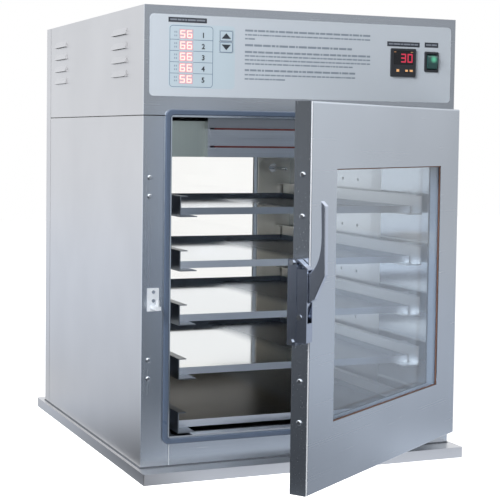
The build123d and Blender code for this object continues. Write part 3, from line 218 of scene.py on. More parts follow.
class SterilizerFinishes(bpy.types.PropertyGroup):
    """Colours of the sterilizer's materials."""

    panel_steel: colour_prop("Panel steel", "Brushed stainless sheet of the sides, hood, back and base", "#DCDBDB")
    front_steel: colour_prop("Front steel", "Brushed stainless sheet of the front and the door", "#C9CFD6")
    chamber_steel: colour_prop("Chamber steel", "Bright rolled stainless sheet inside", "#D2D6D9")
    tray_steel: colour_prop("Tray steel", "Bright rolled sheet of the shelves", "#FDFCF8")
    tray_edge: colour_prop("Tray edge", "Brushed front edges of the shelves", "#F4F6FA")
    # Painted shade on the lowest shelf's floor.
    browned_tray: colour_prop("Browned tray", "Floor of the lowest shelf, browned by the hottest air", "#948F86")
    # Painted shade on the shelves' rear edges.
    scorched_steel: colour_prop("Scorched steel", "Rear edges of the shelves, browned by heat", "#5F646B")
    duct_steel: colour_prop("Duct steel", "Dull rolled sheet of the heater duct", "#D6DBE2")
    lever_steel: colour_prop("Lever steel", "Polished sheet of the latch lever", "#D0D6E2")
    latch_steel: colour_prop("Latch steel", "Polished sheet of the latch case", "#B6BDCB")
    polished_steel: colour_prop("Polished steel", "Screws and hinges", "#CFD2D6")
    keeper_zinc: colour_prop("Keeper zinc", "Zinc plating of the keeper", "#DDE2E8")
    anodised: colour_prop("Anodised aluminium", "Spacer bars between the window panes", "#8492A2")
    # Painted shade on the left rails.
    rail_steel: colour_prop("Rail steel", "Rails and air guide on the left, darkened by heat", "#8E939A")
    gasket: colour_prop("Gasket", "Silicone rubber round the chamber", "#49566A")
    window_seal: colour_prop("Window seal", "Heat-proof sealing strip of the window", "#7A5646")
    film: colour_prop("Panel film", "Printed polyester film on the control panel", "#B7BFC8")
    ink: colour_prop("Ink", "Dark print on the film", "#2B3038")
    rule_ink: colour_prop("Rule ink", "Printed rules round the timers and keys", "#62758D")
    faint_ink: colour_prop("Faint ink", "Small marks beside the timers", "#8492A3")
    text_ink: colour_prop("Text ink", "Block of directions", "#7C8793")
    timer_window: colour_prop("Timer window", "Film over the timers' numerals", "#BFB3C0")
    controller_window: colour_prop("Controller window", "Smoked acrylic over the controller's numerals", "#15161A")
    pale_ink: colour_prop("Pale ink", "Tinted field behind the timers", "#B1C0CA")
    lit_red: colour_prop("Lit red", "Numerals of the timers", "#FFD8D0")
    halo_red: colour_prop("Halo red", "Soft light round the timers' numerals", "#F0868A")
    deep_red: colour_prop("Deep red", "Numerals of the controller", "#E63E5C")
    lit_amber: colour_prop("Lit amber", "Small lamps of the controller", "#E3AE7C")
    black_plastic: colour_prop("Black plastic", "Controller and switch housings", "#23262B")
    switch_green: colour_prop("Switch green", "Rocker of the mains switch, lit from behind", "#2C4F4C")
    wool: colour_prop("Mineral wool", "Insulation blanket", "#D6D6D2")
    board: colour_prop("Circuit board", "Solder mask of the control board", "#2E6B42")
    aluminium: colour_prop("Cast aluminium", "Motor, supply case and heat sink", "#B4B7BA")


class SterilizerPrint(bpy.types.PropertyGroup):
    """Sizes of the printing and numerals on the control panel."""

    print_thickness: length_prop("Print thickness", "Height of the ink on the film", 0.05 * MM)
    line_width: length_prop("Line width", "Width of the printed rules", 0.9 * MM)
    timer_height: length_prop("Timer numeral height", "Height of the timers' lit numerals", 12.0 * MM)
    controller_height: length_prop("Controller numeral height", "Height of the controller's numerals", 15.0 * MM)
    row_number_height: length_prop("Row number height", "Height of the numbers beside the timers", 8.5 * MM)
    text_line_height: length_prop("Text line height", "Height of the stand-in text lines", 2.4 * MM)


class SterilizerStage(bpy.types.PropertyGroup):
    """Lamps, floor and camera of the studio."""

    floor_tint: colour_prop("Floor tint", "Colour of the floor", "#F4F4F4")
    key_power: bpy.props.FloatProperty(
        name="Key power", description="Power of the lamp at the side", default=86.0, min=0.0)
    fill_power: bpy.props.FloatProperty(
        name="Fill power", description="Power of the lamp in front", default=14.0, min=0.0)
    lens: bpy.props.FloatProperty(
        name="Lens", description="Focal length on a 36 mm sensor", unit="CAMERA", default=97.135)


# ---- small tools ----------------------------------------------------------------------
def add(tree, kind, inputs=(), **settings):
    """Adds one node with its settings. The kind is its type without the word ShaderNode. Each input, by name, by
    number or in turn, is a value, or the socket or the node that feeds it, a node by its first output in use. A
    MapRange node's inputs in turn are its value, the span that it crosses, and the two ends that it is carried
    between. A Mix node's colours are its inputs 6 and 7."""
    node = tree.nodes.new("ShaderNode" + kind)
    for name, value in settings.items():
        setattr(node, name, value)
    for key, value in inputs.items() if isinstance(inputs, dict) else enumerate(inputs):
        if isinstance(value, bpy.types.Node):
            value = next(socket for socket in value.outputs if socket.enabled)
        if isinstance(value, bpy.types.NodeSocket):
            tree.links.new(value, node.inputs[key])
        else:
            node.inputs[key].default_value = value
    return node


def sight(tree):
    """Two factors for the studio: 1 where a ray comes from the eye, straight or through glass, and 1 where it comes
    from a mirror on its way, also through glass."""
    path = add(tree, "LightPath").outputs
    once = add(tree, "Math", (path["Glossy Depth"], 0.5), operation="GREATER_THAN")
    shot = add(tree, "Math", (path["Is Camera Ray"], path["Is Transmission Ray"]), operation="MAXIMUM")
    direct = add(tree, "Math", (shot, once), operation="SUBTRACT", use_clamp=True)
    through = add(tree, "Math", (path["Is Transmission Ray"], once), operation="MULTIPLY")
    mirror = add(tree, "Math", (path["Is Glossy Ray"], through), operation="MAXIMUM")
    return direct, mirror


def new_material(name):
    """An empty node material and its tree."""
    material = bpy.data.materials.new(name)
    material.use_nodes = True
    tree = material.node_tree
    tree.nodes.clear()
    return material, tree


def mottled(tree, place, scale, detail, ends, span=NOISE_SPAN, rough=0.5):
    """A value that drifts between two ends in soft patches: noise, with the span given stretched to the ends."""
    patches = add(tree, "TexNoise", {"Vector": place, "Scale": scale, "Detail": detail, "Roughness": rough})
    return add(tree, "MapRange", (patches, *span, *ends))


def rippled(tree, place, scale, detail, strength, depth):
    """A surface normal bent by noise, as if the noise stood depth metres high."""
    waves = add(tree, "TexNoise", {"Vector": place, "Scale": scale, "Detail": detail})
    return add(tree, "Bump", {"Height": waves, "Strength": strength, "Distance": depth})


def dress(material, *names):
    """Gives a material to the CAD nodes of these names."""
    for name in names:
        node = frame["nodes"][name]
        if not node.data.materials:
            node.data.materials.append(material)
        for slot in node.material_slots:
            slot.material = material


def mesh_piece(name, points, faces, body, slot_name, material):
    """A new mesh object with its place in its vertices, riding on a body."""
    mesh = bpy.data.meshes.new(name)
    mesh.from_pydata(np.asarray(points).reshape(-1, 3).tolist(), [], [list(map(int, face)) for face in faces])
    mesh.update()
    piece = bpy.data.objects.new(name, mesh)
    bpy.context.scene.collection.objects.link(piece)
    mesh.materials.append(material)
    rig.ride(piece, body)
    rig.slot(piece, slot_name)


def panel_place(across, up, out):
    """Row-frame points from the panel's own measure in metres: right from the left side, up from the deck, out."""
    across, up, out = np.broadcast_arrays(across, up, out)
    return np.stack([CABINET_LEFT + across, CABINET_FRONT - out, DECK + up], -1)


# A slab's eight corners in units of half its size, and its six faces turned outwards.
SLAB_CORNERS = np.array([[i, j, k] for k in (-1, 1) for j in (-1, 1) for i in (-1, 1)], float)
SLAB_FACES = np.array([[0, 2, 3, 1], [4, 5, 7, 6], [0, 1, 5, 4], [2, 6, 7, 3], [0, 4, 6, 2], [1, 3, 7, 5]])


def slabs(centres, sizes, out, thickness):
    """Printed bars as thin slabs: each corner is its centre plus the corner's signs times half the bar's width and
    height, at depths out and out + thickness. centres and sizes are (n, 2) arrays."""
    centres = np.asarray(centres, float).reshape(-1, 1, 2)
    sizes = np.asarray(sizes, float).reshape(-1, 1, 2)
    flat = centres + SLAB_CORNERS[None, :, :2] * sizes / 2
    depth = out + (SLAB_CORNERS[None, :, 2] + 1) / 2 * thickness + np.zeros((len(flat), 1))
    points = panel_place(flat[..., 0], flat[..., 1], depth)
    faces = SLAB_FACES[None] + 8 * np.arange(len(flat))[:, None, None]
    return points.reshape(-1, 3), faces.reshape(-1, 4)


def prism(outline, out, thickness):
    """A flat convex shape with thickness: the outline (n, 2) at two depths, closed by its two caps and its n sides."""
    outline = np.asarray(outline, float)
    n = len(outline)
    points = np.concatenate([panel_place(outline[:, 0], outline[:, 1], out),
                             panel_place(outline[:, 0], outline[:, 1], out + thickness)])
    i = np.arange(n)
    sides = np.stack([i, (i + 1) % n, (i + 1) % n + n, i + n], 1)
    return points, [list(range(n - 1, -1, -1)), list(range(n, 2 * n)), *sides.tolist()]


def rounded(low, high, radius, steps=8):
    """Outline of a rounded rectangle: quarter circles of the radius about four corner centres, joined in turn."""
    angles = np.linspace(0, math.pi / 2, steps)
    quarters = np.arange(4)[:, None] * math.pi / 2 + angles[None]
    centre_x = np.where(np.isin(np.arange(4), (0, 3)), high[0] - radius, low[0] + radius)[:, None]
    centre_y = np.where(np.isin(np.arange(4), (0, 1)), high[1] - radius, low[1] + radius)[:, None]
    return np.stack([centre_x + radius * np.cos(quarters), centre_y + radius * np.sin(quarters)], -1).reshape(-1, 2)


def rule_ring(low, high, radius, width, out, thickness):
    """A printed line round a rounded rectangle: its profile, width by thickness, carried round the outline."""
    half = width / 2
    outer = rounded((low[0] - half, low[1] - half), (high[0] + half, high[1] + half), radius + half)
    inner = rounded((low[0] + half, low[1] + half), (high[0] - half, high[1] - half), max(radius - half, half / 4))
    n = len(outer)
    rings = [panel_place(ring[:, 0], ring[:, 1], depth) for ring, depth in
             ((outer, out), (outer, out + thickness), (inner, out + thickness), (inner, out))]
    points = np.concatenate(rings)
    i = np.arange(n)
    j = (i + 1) % n
    faces = [np.stack([a * n + i, a * n + j, b * n + j, b * n + i], 1) for a, b in ((0, 1), (1, 2), (2, 3), (3, 0))]
    return points, np.concatenate(faces)


def joined(parts):
    """Several (points, faces) pairs as one pair, with the faces' numbers moved on past the points before them."""
    points, faces, start = [], [], 0
    for part_points, part_faces in parts:
        points.append(np.asarray(part_points).reshape(-1, 3))
        faces += [[int(v) + start for v in face] for face in part_faces]
        start += len(points[-1])
    return np.concatenate(points), faces


def sheet_with_openings(outline, openings, out, thickness):
    """A flat sheet with thickness. Its two caps are the outline less the openings, cut into triangles, and a wall
    stands on each loop. The outline runs counter-clockwise; the openings are turned to run clockwise."""
    loops = [np.asarray(outline, float), *(np.asarray(loop, float)[::-1] for loop in openings)]
    flat = np.concatenate(loops)
    n = len(flat)
    triangles = np.array(tessellate_polygon([[Vector((x, z, 0.0)) for x, z in loop] for loop in loops]))
    a, b, c = (flat[triangles[:, k]] for k in range(3))
    turn = (b[:, 0] - a[:, 0]) * (c[:, 1] - a[:, 1]) - (b[:, 1] - a[:, 1]) * (c[:, 0] - a[:, 0])
    triangles[turn < 0] = triangles[turn < 0][:, ::-1]
    walls, start = [], 0
    for loop in loops:
        i = np.arange(len(loop))
        j = (i + 1) % len(loop)
        walls.append(np.stack([i, j, j + n, i + n], 1) + start)
        start += len(loop)
    points = np.concatenate([panel_place(flat[:, 0], flat[:, 1], out),
                             panel_place(flat[:, 0], flat[:, 1], out + thickness)])
    return points, [*triangles[:, ::-1].tolist(), *(triangles + n).tolist(), *np.concatenate(walls).tolist()]


def panel_box(*names):
    """Lowest and highest corner of CAD nodes in the panel's own measure, across and up."""
    corners = np.array([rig.box(name) for name in names])
    low, high = corners[:, 0].min(0), corners[:, 1].max(0)
    return low[[0, 2]] - (CABINET_LEFT, DECK), high[[0, 2]] - (CABINET_LEFT, DECK)


def word_strip(start, end, height, tall, out, thickness, seed):
    """A line of short bars in place of words: their lengths come from a seeded generator, and their sum, with a
    fixed space after each, is scaled to reach from start to end. A word and its space take up about 3.4 times the
    line's height."""
    rng = np.random.default_rng(seed)
    space = tall * 0.45
    count = max(2, int((end - start) / (tall * 3.4)))
    lengths = rng.uniform(1.0, 5.0, count) * tall
    lengths *= (end - start - space * (count - 1)) / lengths.sum()
    lefts = start + np.concatenate([[0.0], np.cumsum(lengths + space)[:-1]])
    centres = np.stack([lefts + lengths / 2, np.full(count, height)], -1)
    return slabs(centres, np.stack([lengths, np.full(count, tall)], -1), out, thickness)


def lettering(sign, height, centre, out, thickness):
    """A plain numeral in Blender's own font, a little bolder, made a mesh, centred, scaled to its height and laid on
    the panel."""
    curve = bpy.data.curves.new("numeral", "FONT")
    curve.body = sign
    curve.extrude = 0.5
    curve.offset = 0.03
    holder = bpy.data.objects.new("numeral", curve)
    mesh = bpy.data.meshes.new_from_object(holder)
    points = np.empty(len(mesh.vertices) * 3)
    mesh.vertices.foreach_get("co", points)
    points = points.reshape(-1, 3)
    faces = [list(face.vertices) for face in mesh.polygons]
    low, high = points.min(0), points.max(0)
    scale = height / (high[1] - low[1])
    flat = (points[:, :2] - (low[:2] + high[:2]) / 2) * scale + np.array(centre)
    depth = out + (points[:, 2] - low[2]) / (high[2] - low[2]) * thickness
    bpy.data.objects.remove(holder)
    bpy.data.curves.remove(curve)
    bpy.data.meshes.remove(mesh)
    return panel_place(flat[:, 0], flat[:, 1], depth), faces


# Bars of a seven-segment numeral on a box one unit wide and one high: middle across, middle up, 1 where upright.
SEGMENTS = np.array([[0.5, 1.0, 0], [1.0, 0.75, 1], [1.0, 0.25, 1], [0.5, 0.0, 0], [0.0, 0.25, 1], [0.0, 0.75, 1],
                     [0.5, 0.5, 0]])
LIT_BARS = {"0": [0, 1, 2, 3, 4, 5], "3": [0, 1, 2, 3, 6], "5": [0, 2, 3, 5, 6], "6": [0, 2, 3, 4, 5, 6]}


def numeral(sign, left, low, width, height, bar):
    """Centres and sizes of a numeral's lit bars: the bars' middles lie on the numeral's box drawn in by half a bar,
    and each bar reaches 0.3 of its width past its place at both ends, so that it meets the next."""
    segments = SEGMENTS[LIT_BARS[sign]]
    inner = np.array([width - bar, height - bar])
    centres = np.array([left, low]) + bar / 2 + segments[:, :2] * inner
    upright = segments[:, 2:] == 1
    sizes = np.where(upright, [[bar, inner[1] / 2 + bar * 0.6]], [[inner[0] + bar * 0.6, bar]])
    return centres, sizes


# ---- materials ------------------------------------------------------------------------
def brushed_stainless(name, tint, roughness, run, streak=0.012, bump=0.008, turn=0.0, column=None, edge=None,
                      corner=None, slot=None):
    """Cold rolled 304 stainless steel, brushed with a grit belt along the axis named by run. Soft, slightly stretched
    reflections with faint streaks. Belt marks are about 0.1 mm apart, too fine to see, so they are drawn 3 mm apart.
    Where column is given, the sheet further than that from the middle was brushed upright, and a pale ground weld
    closes the joint below the opening, pale and less metallic so that it also stands as a painted highlight. Where
    edge is given, it is the depth of a rolled front edge, painted bright over 2 mm as its highlight, and faces that
    look inward or down, the louvres' insides among them, are painted dark as shade. Where slot is given, the sheet is
    painted darker above that height and toward the left, as shade. Where corner is given, it is the place of an
    upright fold, painted pale over 1.5 mm to each side as its highlight, and the sheet is painted lighter at its free
    edge and darker toward its hinges, as shade."""
    material, tree = new_material(name)
    place = add(tree, "TexCoord").outputs["Object"]
    if turn:
        place = add(tree, "VectorRotate", {"Vector": place, "Angle": turn}, rotation_type="Z_AXIS")
    x, y, z = add(tree, "SeparateXYZ", (place,)).outputs
    scale = [BELT_ALONG if axis == run else BELT_ACROSS for axis in "XYZ"]
    pale, pale_tint, bare = None, None, 1.0
    if column:
        out = add(tree, "Math", (x,), operation="ABSOLUTE")
        upright = add(tree, "MapRange", (out, column, column + 0.1 * MM, 0.0, 1.0))
        scale = add(tree, "Mix", {"Factor": upright, 4: scale, 5: BELT_UPRIGHT}, data_type="VECTOR")
        beside = add(tree, "MapRange", (out, column - 0.8 * MM, column - 0.3 * MM, 0.0, 1.0))
        beyond = add(tree, "MapRange", (out, column + 0.3 * MM, column + 0.8 * MM, 1.0, 0.0))
        below = add(tree, "MapRange", (z, WELD_TOP, WELD_TOP + MM, 1.0, 0.0))
        joint = add(tree, "Math", (beside, beyond), operation="MULTIPLY")
        # The ground weld is drawn pale and less metallic, so that it also stands as a painted highlight where column
        # meets rail.
        pale, pale_tint = add(tree, "Math", (joint, below), operation="MULTIPLY"), colour("#D3D8DC")
    stretched = add(tree, "Mapping", {"Vector": place, "Scale": scale})
    marks = add(tree, "TexNoise", {"Vector": stretched, "Scale": 1.0, "Detail": 3.0, "Roughness": 0.6})
    shade = add(tree, "MapRange", (marks, *NOISE_SPAN, 1.0 - streak, 1.0 + streak))
    # Handling leaves broad cloudy patches, about 150 mm wide.
    clouds = mottled(tree, place, 7.0, 2.0, (0.97, 1.03))
    both = add(tree, "Math", (shade, clouds), operation="MULTIPLY")
    base = add(tree, "VectorMath", {0: tint[:3], "Scale": both}, operation="SCALE")
    if edge:
        # Painted highlight: the front 2 mm of the sheet is painted bright, where its rolled edge would catch the
        # light.
        rolled = add(tree, "MapRange", (y, edge + 1.4 * MM, edge + 2.2 * MM, 1.0, 0.0))
        base = add(tree, "Mix", {"Factor": rolled, 6: base, 7: colour("#F6F8FA")}, data_type="RGBA")
        # Painted shade: faces that look inward or down, the louvres' insides among them, are painted dark.
        normal = add(tree, "NewGeometry").outputs["Normal"]
        sideways, _, up = add(tree, "SeparateXYZ", (normal,)).outputs
        outward = add(tree, "Math", (x, sideways), operation="MULTIPLY")
        inner = add(tree, "MapRange", (outward, -0.01, 0.0, 1.0, 0.0))
        under = add(tree, "MapRange", (up, -0.4, -0.2, 1.0, 0.0))
        painted_inner_shade = add(tree, "Math", (inner, under), operation="MAXIMUM")
        base = add(tree, "Mix", {"Factor": painted_inner_shade, 6: base, 7: colour("#2E3238")}, data_type="RGBA")
    if slot:
        # Painted shade: the sheet is darker above the slot and toward the left.
        above = add(tree, "MapRange", (z, slot, slot + 2 * MM, 1.0, 0.6))
        leftward = add(tree, "MapRange", (x, -0.16, -0.03, 0.7, 1.0))
        dimmed_zone = add(tree, "Math", (above, leftward), operation="MULTIPLY")
        base = add(tree, "VectorMath", {0: base, "Scale": dimmed_zone}, operation="SCALE")
    if corner:
        # Painted shade: the door is lighter at its free edge and darker toward its hinges.
        hinge_shade = add(tree, "MapRange", (x, corner[0], corner[0] + DOOR_WIDTH, 1.05, 0.84))
        base = add(tree, "VectorMath", {0: base, "Scale": hinge_shade}, operation="SCALE")
        # Painted highlight: the sheet is pale for 1.5 mm to each side of the fold.
        near = [add(tree, "MapRange", (side, at + 1.3 * MM, at + 2.0 * MM, 1.0, 0.0))
                for side, at in zip((x, y), corner)]
        pale, pale_tint = add(tree, "Math", near, operation="MULTIPLY"), colour("#D9DDE3")
    if pale is not None:
        base = add(tree, "Mix", {"Factor": pale, 6: base, 7: pale_tint}, data_type="RGBA")
        bare = add(tree, "MapRange", (pale, 0.0, 1.0, 1.0, PALE_METALLIC))
    gloss = add(tree, "MapRange", (marks, *NOISE_SPAN, roughness - 0.015, roughness + 0.015))
    relief = add(tree, "Bump", {"Height": marks, "Strength": bump, "Distance": 0.2 * MM})
    steel = add(tree, "BsdfPrincipled", {"Base Color": base, "Metallic": bare, "Roughness": gloss, "Normal": relief})
    add(tree, "OutputMaterial", (steel,))
    return material


def polished_metal(name, tint, roughness, ripple=0.05, ripple_size=0.06, metallic=1.0):
    """Bright rolled metal, near mirror, with the sheet's slow ripple bending what it reflects. A plated or anodised
    skin is less than fully metallic, which leaves it pale from every side."""
    material, tree = new_material(name)
    place = add(tree, "TexCoord").outputs["Object"]
    # Finger marks, about 20 mm across, leave it a little less sharp.
    gloss = mottled(tree, place, 45.0, 4.0, (roughness, roughness + 0.07), (0.35, 0.7), 0.65)
    relief = rippled(tree, place, 1.0 / ripple_size, 1.0, ripple, RIPPLE_DEPTH)
    metal = add(tree, "BsdfPrincipled", {"Base Color": tint, "Metallic": metallic, "Roughness": gloss,
                                         "Normal": relief})
    add(tree, "OutputMaterial", (metal,))
    return material


def tray_steel(name, floor, edge, scorched, gloss, depths):
    """Pressed stainless tray between two depths: a rolled floor and sides, darker and rougher on the right, a duller
    brushed front edge, and a rear edge painted dark as shade."""
    low, high = depths
    material, tree = new_material(name)
    place = add(tree, "TexCoord").outputs["Object"]
    x, y, _ = add(tree, "SeparateXYZ", (place,)).outputs
    # Darker and rougher toward the right.
    dimmed_zone = add(tree, "MapRange", (x, 0.03, 0.09, 0.0, 1.0), interpolation_type="SMOOTHSTEP")
    front = add(tree, "MapRange", (y, low + 1.3 * MM, low + 1.5 * MM, 1.0, 0.0))
    # Painted shade: the rear edge is painted dark.
    rear = add(tree, "MapRange", (y, high - 1.5 * MM, high - 1.3 * MM, 0.0, 1.0))
    shade = floor
    for part, tint in ((dimmed_zone, colour("#9EA4AB")), (front, edge), (rear, scorched)):
        shade = add(tree, "Mix", {"Factor": part, 6: shade, 7: tint}, data_type="RGBA")
    rims = add(tree, "Math", (front, rear), operation="MAXIMUM")
    duller = add(tree, "Math", (rims, dimmed_zone), operation="MAXIMUM")
    gloss = add(tree, "MapRange", (duller, 0.0, 1.0, gloss, 0.28))
    relief = rippled(tree, place, SHEET_RIPPLE, 1.0, 0.015, RIPPLE_DEPTH)
    metal = add(tree, "BsdfPrincipled", {"Base Color": shade, "Metallic": 1.0, "Roughness": gloss, "Normal": relief})
    add(tree, "OutputMaterial", (metal,))
    return material


def liner_steel(name, tint, back):
    """Welded chamber liner: bright rolled walls, and a rear wall beyond the given depth that was brushed upright and
    has browned a little with heat. Its brush marks are drawn 3 mm apart, coarser than they are."""
    material, tree = new_material(name)
    place = add(tree, "TexCoord").outputs["Object"]
    y = add(tree, "SeparateXYZ", (place,)).outputs["Y"]
    rear = add(tree, "MapRange", (y, back, back + 0.1 * MM, 0.0, 1.0))
    browned = mottled(tree, place, 5.0, 2.0, (0.0, 1.0), BROWNED_SPAN)
    heat = add(tree, "Mix", {"Factor": browned, 6: colour("#F3F4EE"), 7: colour("#F8EFDF")}, data_type="RGBA")
    shade = add(tree, "Mix", {"Factor": rear, 6: tint, 7: heat}, data_type="RGBA")
    stretched = add(tree, "Mapping", {"Vector": place, "Scale": BELT_UPRIGHT})
    brushed = mottled(tree, stretched, 1.0, 3.0, (0.42, 0.5))
    gloss = add(tree, "Mix", {"Factor": rear, "A": 0.12, "B": brushed}, data_type="FLOAT")
    relief = rippled(tree, place, SHEET_RIPPLE, 1.0, 0.04, RIPPLE_DEPTH)
    metal = add(tree, "BsdfPrincipled", {"Base Color": shade, "Metallic": 1.0, "Roughness": gloss, "Normal": relief})
    add(tree, "OutputMaterial", (metal,))
    return material


def moulded(name, tint, roughness, grain_size=0.6 * MM, grain=0.08, coat=0.0):
    """Injection moulded plastic or rubber: even colour with a fine spark-eroded grain that breaks up the gloss."""
    material, tree = new_material(name)
    place = add(tree, "TexCoord").outputs["Object"]
    gloss = mottled(tree, place, 25.0, 2.0, (roughness - 0.05, roughness + 0.05))
    relief = rippled(tree, place, 1.0 / grain_size, 2.0, grain, GRAIN_DEPTH)
    plastic = add(tree, "BsdfPrincipled", {"Base Color": tint, "Roughness": gloss, "Normal": relief,
                                           "Coat Weight": coat, "Coat Roughness": 0.1})
    add(tree, "OutputMaterial", (plastic,))
    return material


def polyester_film(name, tint):
    """Matt polyester film with a fine velvet texture, printed on its back: the colour lies a little below a soft
    surface gloss. Its texture is about 0.1 mm across and drawn 0.8 mm, coarse enough to show."""
    material, tree = new_material(name)
    place = add(tree, "TexCoord").outputs["Object"]
    gloss = mottled(tree, place, 12.0, 2.0, (0.34, 0.42))
    relief = rippled(tree, place, 1.0 / (0.8 * MM), 2.0, 0.05, GRAIN_DEPTH)
    film = add(tree, "BsdfPrincipled", {"Base Color": tint, "Roughness": gloss, "Normal": relief, "IOR": 1.57})
    add(tree, "OutputMaterial", (film,))
    return material


def screen_ink(name, tint):
    """Screen printed ink, satin, with the faint mottle of the mesh it was pressed through, drawn 2 mm across."""
    material, tree = new_material(name)
    place = add(tree, "TexCoord").outputs["Object"]
    gloss = mottled(tree, place, 1.0 / (2.0 * MM), 1.0, (0.38, 0.5))
    ink = add(tree, "BsdfPrincipled", {"Base Color": tint, "Roughness": gloss})
    add(tree, "OutputMaterial", (ink,))
    return material


def smoked_window(name, tint, roughness):
    """Tinted window over a display: dark clear acrylic or film, with a soft hard-coat shine and a few faint smears."""
    material, tree = new_material(name)
    place = add(tree, "TexCoord").outputs["Object"]
    gloss = mottled(tree, place, 120.0, 3.0, (roughness, roughness + 0.1), (0.35, 0.7))
    window = add(tree, "BsdfPrincipled", {"Base Color": tint, "Roughness": gloss, "IOR": 1.49})
    add(tree, "OutputMaterial", (window,))
    return material


def lit(name, tint, strength, body_tint):
    """A lit numeral or lamp: a coloured light-emitting face behind clear plastic."""
    material, tree = new_material(name)
    glow = add(tree, "BsdfPrincipled", {"Base Color": body_tint, "Roughness": 0.35, "Emission Color": tint,
                                        "Emission Strength": strength})
    add(tree, "OutputMaterial", (glow,))
    return material


class STERILIZER_OT_steel(bpy.types.Operator):
    """Give the cabinet, the door and the chamber their stainless steel"""

    bl_idname = "sterilizer.steel"
    bl_label = "Steel"

    def execute(self, context):
        tints = context.scene.sterilizer_finishes
        self.outside(tints)
        self.chamber(tints)
        self.fittings(tints)
        return {"FINISHED"}

    def outside(self, tints):
        """The sheets of the cabinet and of the door."""
        dress(brushed_stainless("Brushed_stainless_side", tints.panel_steel, 0.34, "Z",
                                edge=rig.box("left_side_panel")[0][1]),
              "left_side_panel", "right_side_panel", "hood_cover", "back_panel")
        dress(brushed_stainless("Brushed_stainless_frame", tints.front_steel, 0.26, "X", column=COLUMN), "front_frame")
        dress(brushed_stainless("Brushed_stainless_fascia", tints.front_steel, 0.26, "X"), "fascia")
        # The door stands ajar at rest, so its grain is turned with it.
        dress(brushed_stainless("Brushed_stainless_door", tints.front_steel, 0.26, "X", streak=0.006, bump=0.003,
                                turn=-DOOR_ANGLE, corner=DOOR_FOLD),
              "door_skin", "door_inner_pan")
        dress(brushed_stainless("Brushed_stainless_base", tints.panel_steel, 0.36, "X"), "base_tray", "bay_floor")

    def chamber(self, tints):
        """The liner, the trays, their rails and the heater duct."""
        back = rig.box("chamber_liner")[1][1] - 2.0 * MM
        dress(liner_steel("Bright_rolled_liner", tints.chamber_steel, back), "chamber_liner")
        shelf_low, shelf_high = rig.box("shelf_1")
        depths = (shelf_low[1], shelf_high[1])
        for name, floor, edge, gloss, shelves in (
                ("Bright_rolled_trays", tints.tray_steel, tints.tray_edge, 0.1, ("shelf_2", "shelf_3", "shelf_4")),
                # The top tray's front edge is given a darker grey, as painted shade.
                ("Bright_rolled_top_tray", tints.tray_steel, colour("#B4B9C0"), 0.1, ("shelf_5",)),
                # The lowest tray's floor is painted darker, as shade under the trays above.
                ("Browned_low_tray", tints.browned_tray, tints.tray_edge, 0.3, ("shelf_1",))):
            dress(tray_steel(name, floor, edge, tints.scorched_steel, gloss, depths), *shelves)
        dress(brushed_stainless("Brushed_stainless_rails", tints.tray_steel, 0.32, "Y"), "right_rails")
        # The left rails and air guide take a darker steel than the right ones, as painted shade.
        dress(brushed_stainless("Browned_stainless_rails", tints.rail_steel, 0.32, "Y"), "left_rails")
        dress(brushed_stainless("Dull_rolled_stainless", tints.duct_steel, 0.34, "X", streak=0.04, slot=DUCT_SLOT),
              "heater_duct", "fan_impeller")
        dress(polished_metal("Bright_rolled_stainless", tints.chamber_steel, 0.16), "temperature_probe")

    def fittings(self, tints):
        """Screws, hinges, the latch and its keeper, and the spacer bars of the windows."""
        dress(polished_metal("Polished_stainless", tints.polished_steel, 0.1, ripple=0.0),
              "back_screws", "frame_screws", "door_screws", "hinge_pins", "hinge_leaf_frame_lower",
              "hinge_leaf_frame_upper", "hinge_leaf_door_lower", "hinge_leaf_door_upper", "latch_bolts", "lever_pin")
        dress(polished_metal("Polished_latch_steel", tints.latch_steel, 0.16, ripple=0.02, ripple_size=0.03),
              "latch_case")
        dress(polished_metal("Polished_lever_steel", tints.lever_steel, 0.2, ripple=0.02, ripple_size=0.03),
              "latch_lever")
        dress(polished_metal("Zinc_plated_steel", tints.keeper_zinc, 0.35, ripple=0.02, metallic=0.35), "keeper")
        dress(polished_metal("Satin_anodised_aluminium", tints.anodised, 0.35, ripple=0.0, metallic=0.4),
              "window_spacer", "rear_window_spacer")


